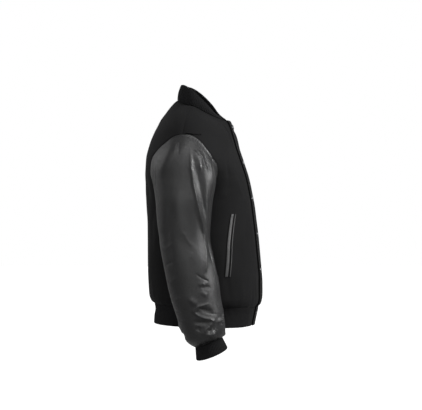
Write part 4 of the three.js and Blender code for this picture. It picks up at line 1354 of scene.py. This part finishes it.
pocket_rows = {}
for side in ("right", "left"):
    rows = []
    for part, start, end in (("welt", -13, -1.4), ("lip", 1.6, 6.5)):
        points, outs = strip_grid(start, end, 8)
        column = 1 if part == "welt" else 5
        rows.append((points[2:-2, column], outs[2:-2, column]))
    for number, (points, outs) in enumerate(rows):
        name = f"stitches_pocket_{side}_{number + 1}"
        pocket_rows[name] = stitch_row(name, points, outs, side == "left")
print("rows of stitches", len(front_rows) + len(pocket_rows))

# %% [markdown]
# ## What each piece stands for
#
# Every new piece rides on the one rigid body, and the plain solid that it replaces is hidden.

# %% Roles
def stand_for(piece, slot, *nodes):
    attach(piece, "root")
    if nodes:
        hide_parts(*nodes)


stand_for(front_right, "wool", "front_right")
stand_for(front_left, "wool", "front_left")
stand_for(back, "wool", "back")
stand_for(collar, "knit", "collar")
stand_for(hem, "knit", "hem_rib")
stand_for(tab_right, "wool", "hem_tab_right")
stand_for(tab_left, "wool", "hem_tab_left")
for key, piece in sleeves.items():
    stand_for(piece, "leather", f"sleeve_{key}")
for side, piece in cuffs.items():
    stand_for(piece, "knit", f"cuff_{side}")
for key, piece in strips.items():
    stand_for(piece, "leather_trim", f"pocket_{key}")
for number, snap in enumerate(snaps, 1):
    stand_for(snap, "snap_metal", f"snap_{number}")
for row in front_rows + list(pocket_rows.values()):
    stand_for(row, "wool")


def cut_size(piece, rests_on):
    """Turns what carries a sheet into a list, and keeps nothing."""
    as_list(rests_on)


cut_size(back, [front_right, front_left])
for side, front in (("right", front_right), ("left", front_left)):
    tab, tab_held = (tab_right, tab_left)[side == "left"], [front, hem]
    cut_size(front, [back, collar])
    cut_size(tab, tab_held)
    top, under = sleeves[f"top_{side}"], sleeves[f"under_{side}"]
    cut_size(top, [front, back])
    cut_size(under, [top, back])
    cut_size(cuffs[side], [top, under])
cut_size(collar, [back, front_right, front_left])
cut_size(hem, [back, front_right, front_left])

# %% [markdown]
# ## Studio
#
# A white room lights black cloth from all round, and its reflections draw the pale rims along the
# leather. One large soft light stands in front of the wearer and above, so the folds turn from light
# to dark towards the back, and a weaker one lifts the shadows.

# %% Floor, lights and world
FLOOR = -1.48


def make_floor():
    bpy.ops.object.select_all(action="DESELECT")
    bpy.ops.mesh.primitive_circle_add(vertices=96, radius=30, fill_type="NGON", location=(0, 0, FLOOR))
    floor = bpy.context.active_object
    floor.name = "floor"
    paint = Finish("pale_floor", Roughness=0.9, Specular_IOR_Level=0.1, Emission_Strength=1.0)
    where = paint.add("ShaderNodeTexCoord", {}, {}, "Object")
    specks = paint.noise(where, 3, 2, 0.5)
    paint.set("Base Color", paint.colours(specks, (0.3, 0.3, 0.3), (0.32, 0.32, 0.32)))
    seen = paint.add("ShaderNodeLightPath", {}, {}, "Is Camera Ray")
    paint.set("Emission Color", paint.colours(seen, (0, 0, 0), (0.9, 0.9, 0.9)))
    floor.data.materials.append(paint.material)


def make_light(name, place, target, size, power):
    data = bpy.data.lights.new(name, "AREA")
    data.shape = "DISK"
    data.size = size
    data.energy = power
    light = bpy.data.objects.new(name, data)
    light.location = place
    light.rotation_euler = (Vector(target) - Vector(place)).to_track_quat("-Z", "Y").to_euler()
    bpy.context.scene.collection.objects.link(light)


def make_sun(direction, strength, softness):
    data = bpy.data.lights.new("soft_sky_light", "SUN")
    data.energy = strength
    data.angle = math.radians(softness)
    light = bpy.data.objects.new("soft_sky_light", data)
    light.rotation_euler = Vector(direction).to_track_quat("-Z", "Y").to_euler()
    bpy.context.scene.collection.objects.link(light)


def make_world(dim, lit, towards):
    """A room with a bright wall on one side, and white where the camera sees it."""
    world = bpy.data.worlds.new("pale_room")
    world.use_nodes = True
    nodes, links = world.node_tree.nodes, world.node_tree.links
    background = nodes["Background"]
    background.inputs["Color"].default_value = (1, 1, 1, 1)
    where = nodes.new("ShaderNodeTexCoord")
    facing = nodes.new("ShaderNodeVectorMath")
    facing.operation = "DOT_PRODUCT"
    facing.inputs[1].default_value = Vector(towards).normalized()
    wall = nodes.new("ShaderNodeMapRange")
    wall.interpolation_type = "SMOOTHSTEP"
    for socket, value in (("From Min", WALL_ENDS), ("From Max", WALL_FULL), ("To Min", dim), ("To Max", lit)):
        wall.inputs[socket].default_value = value
    path = nodes.new("ShaderNodeLightPath")
    strength = nodes.new("ShaderNodeMapRange")
    strength.inputs["To Max"].default_value = 1.0
    links.new(where.outputs["Generated"], facing.inputs[0])
    links.new(facing.outputs["Value"], wall.inputs["Value"])
    links.new(wall.outputs["Result"], strength.inputs["To Min"])
    links.new(path.outputs["Is Camera Ray"], strength.inputs["Value"])
    links.new(strength.outputs["Result"], background.inputs["Strength"])
    bpy.context.scene.world = world


make_floor()
CHEST = (0, 0, -0.25)
WALL_ENDS, WALL_FULL = 0.1, 0.8
make_light("key", (0.0, -3.0, 1.1), CHEST, 0.2, 95)
make_light("panel", (-2.9, 0.1, 1.3), CHEST, 1.8, 17)
make_light("rim", (0.9, 3.3, 1.2), CHEST, 2.4, 20)
make_sun((0.25, 0.55, -1), 1.6, 45)
make_world(0.3, 0.95, (-0.96, -0.2, 0.18))
bpy.context.scene.view_settings.view_transform = "Standard"
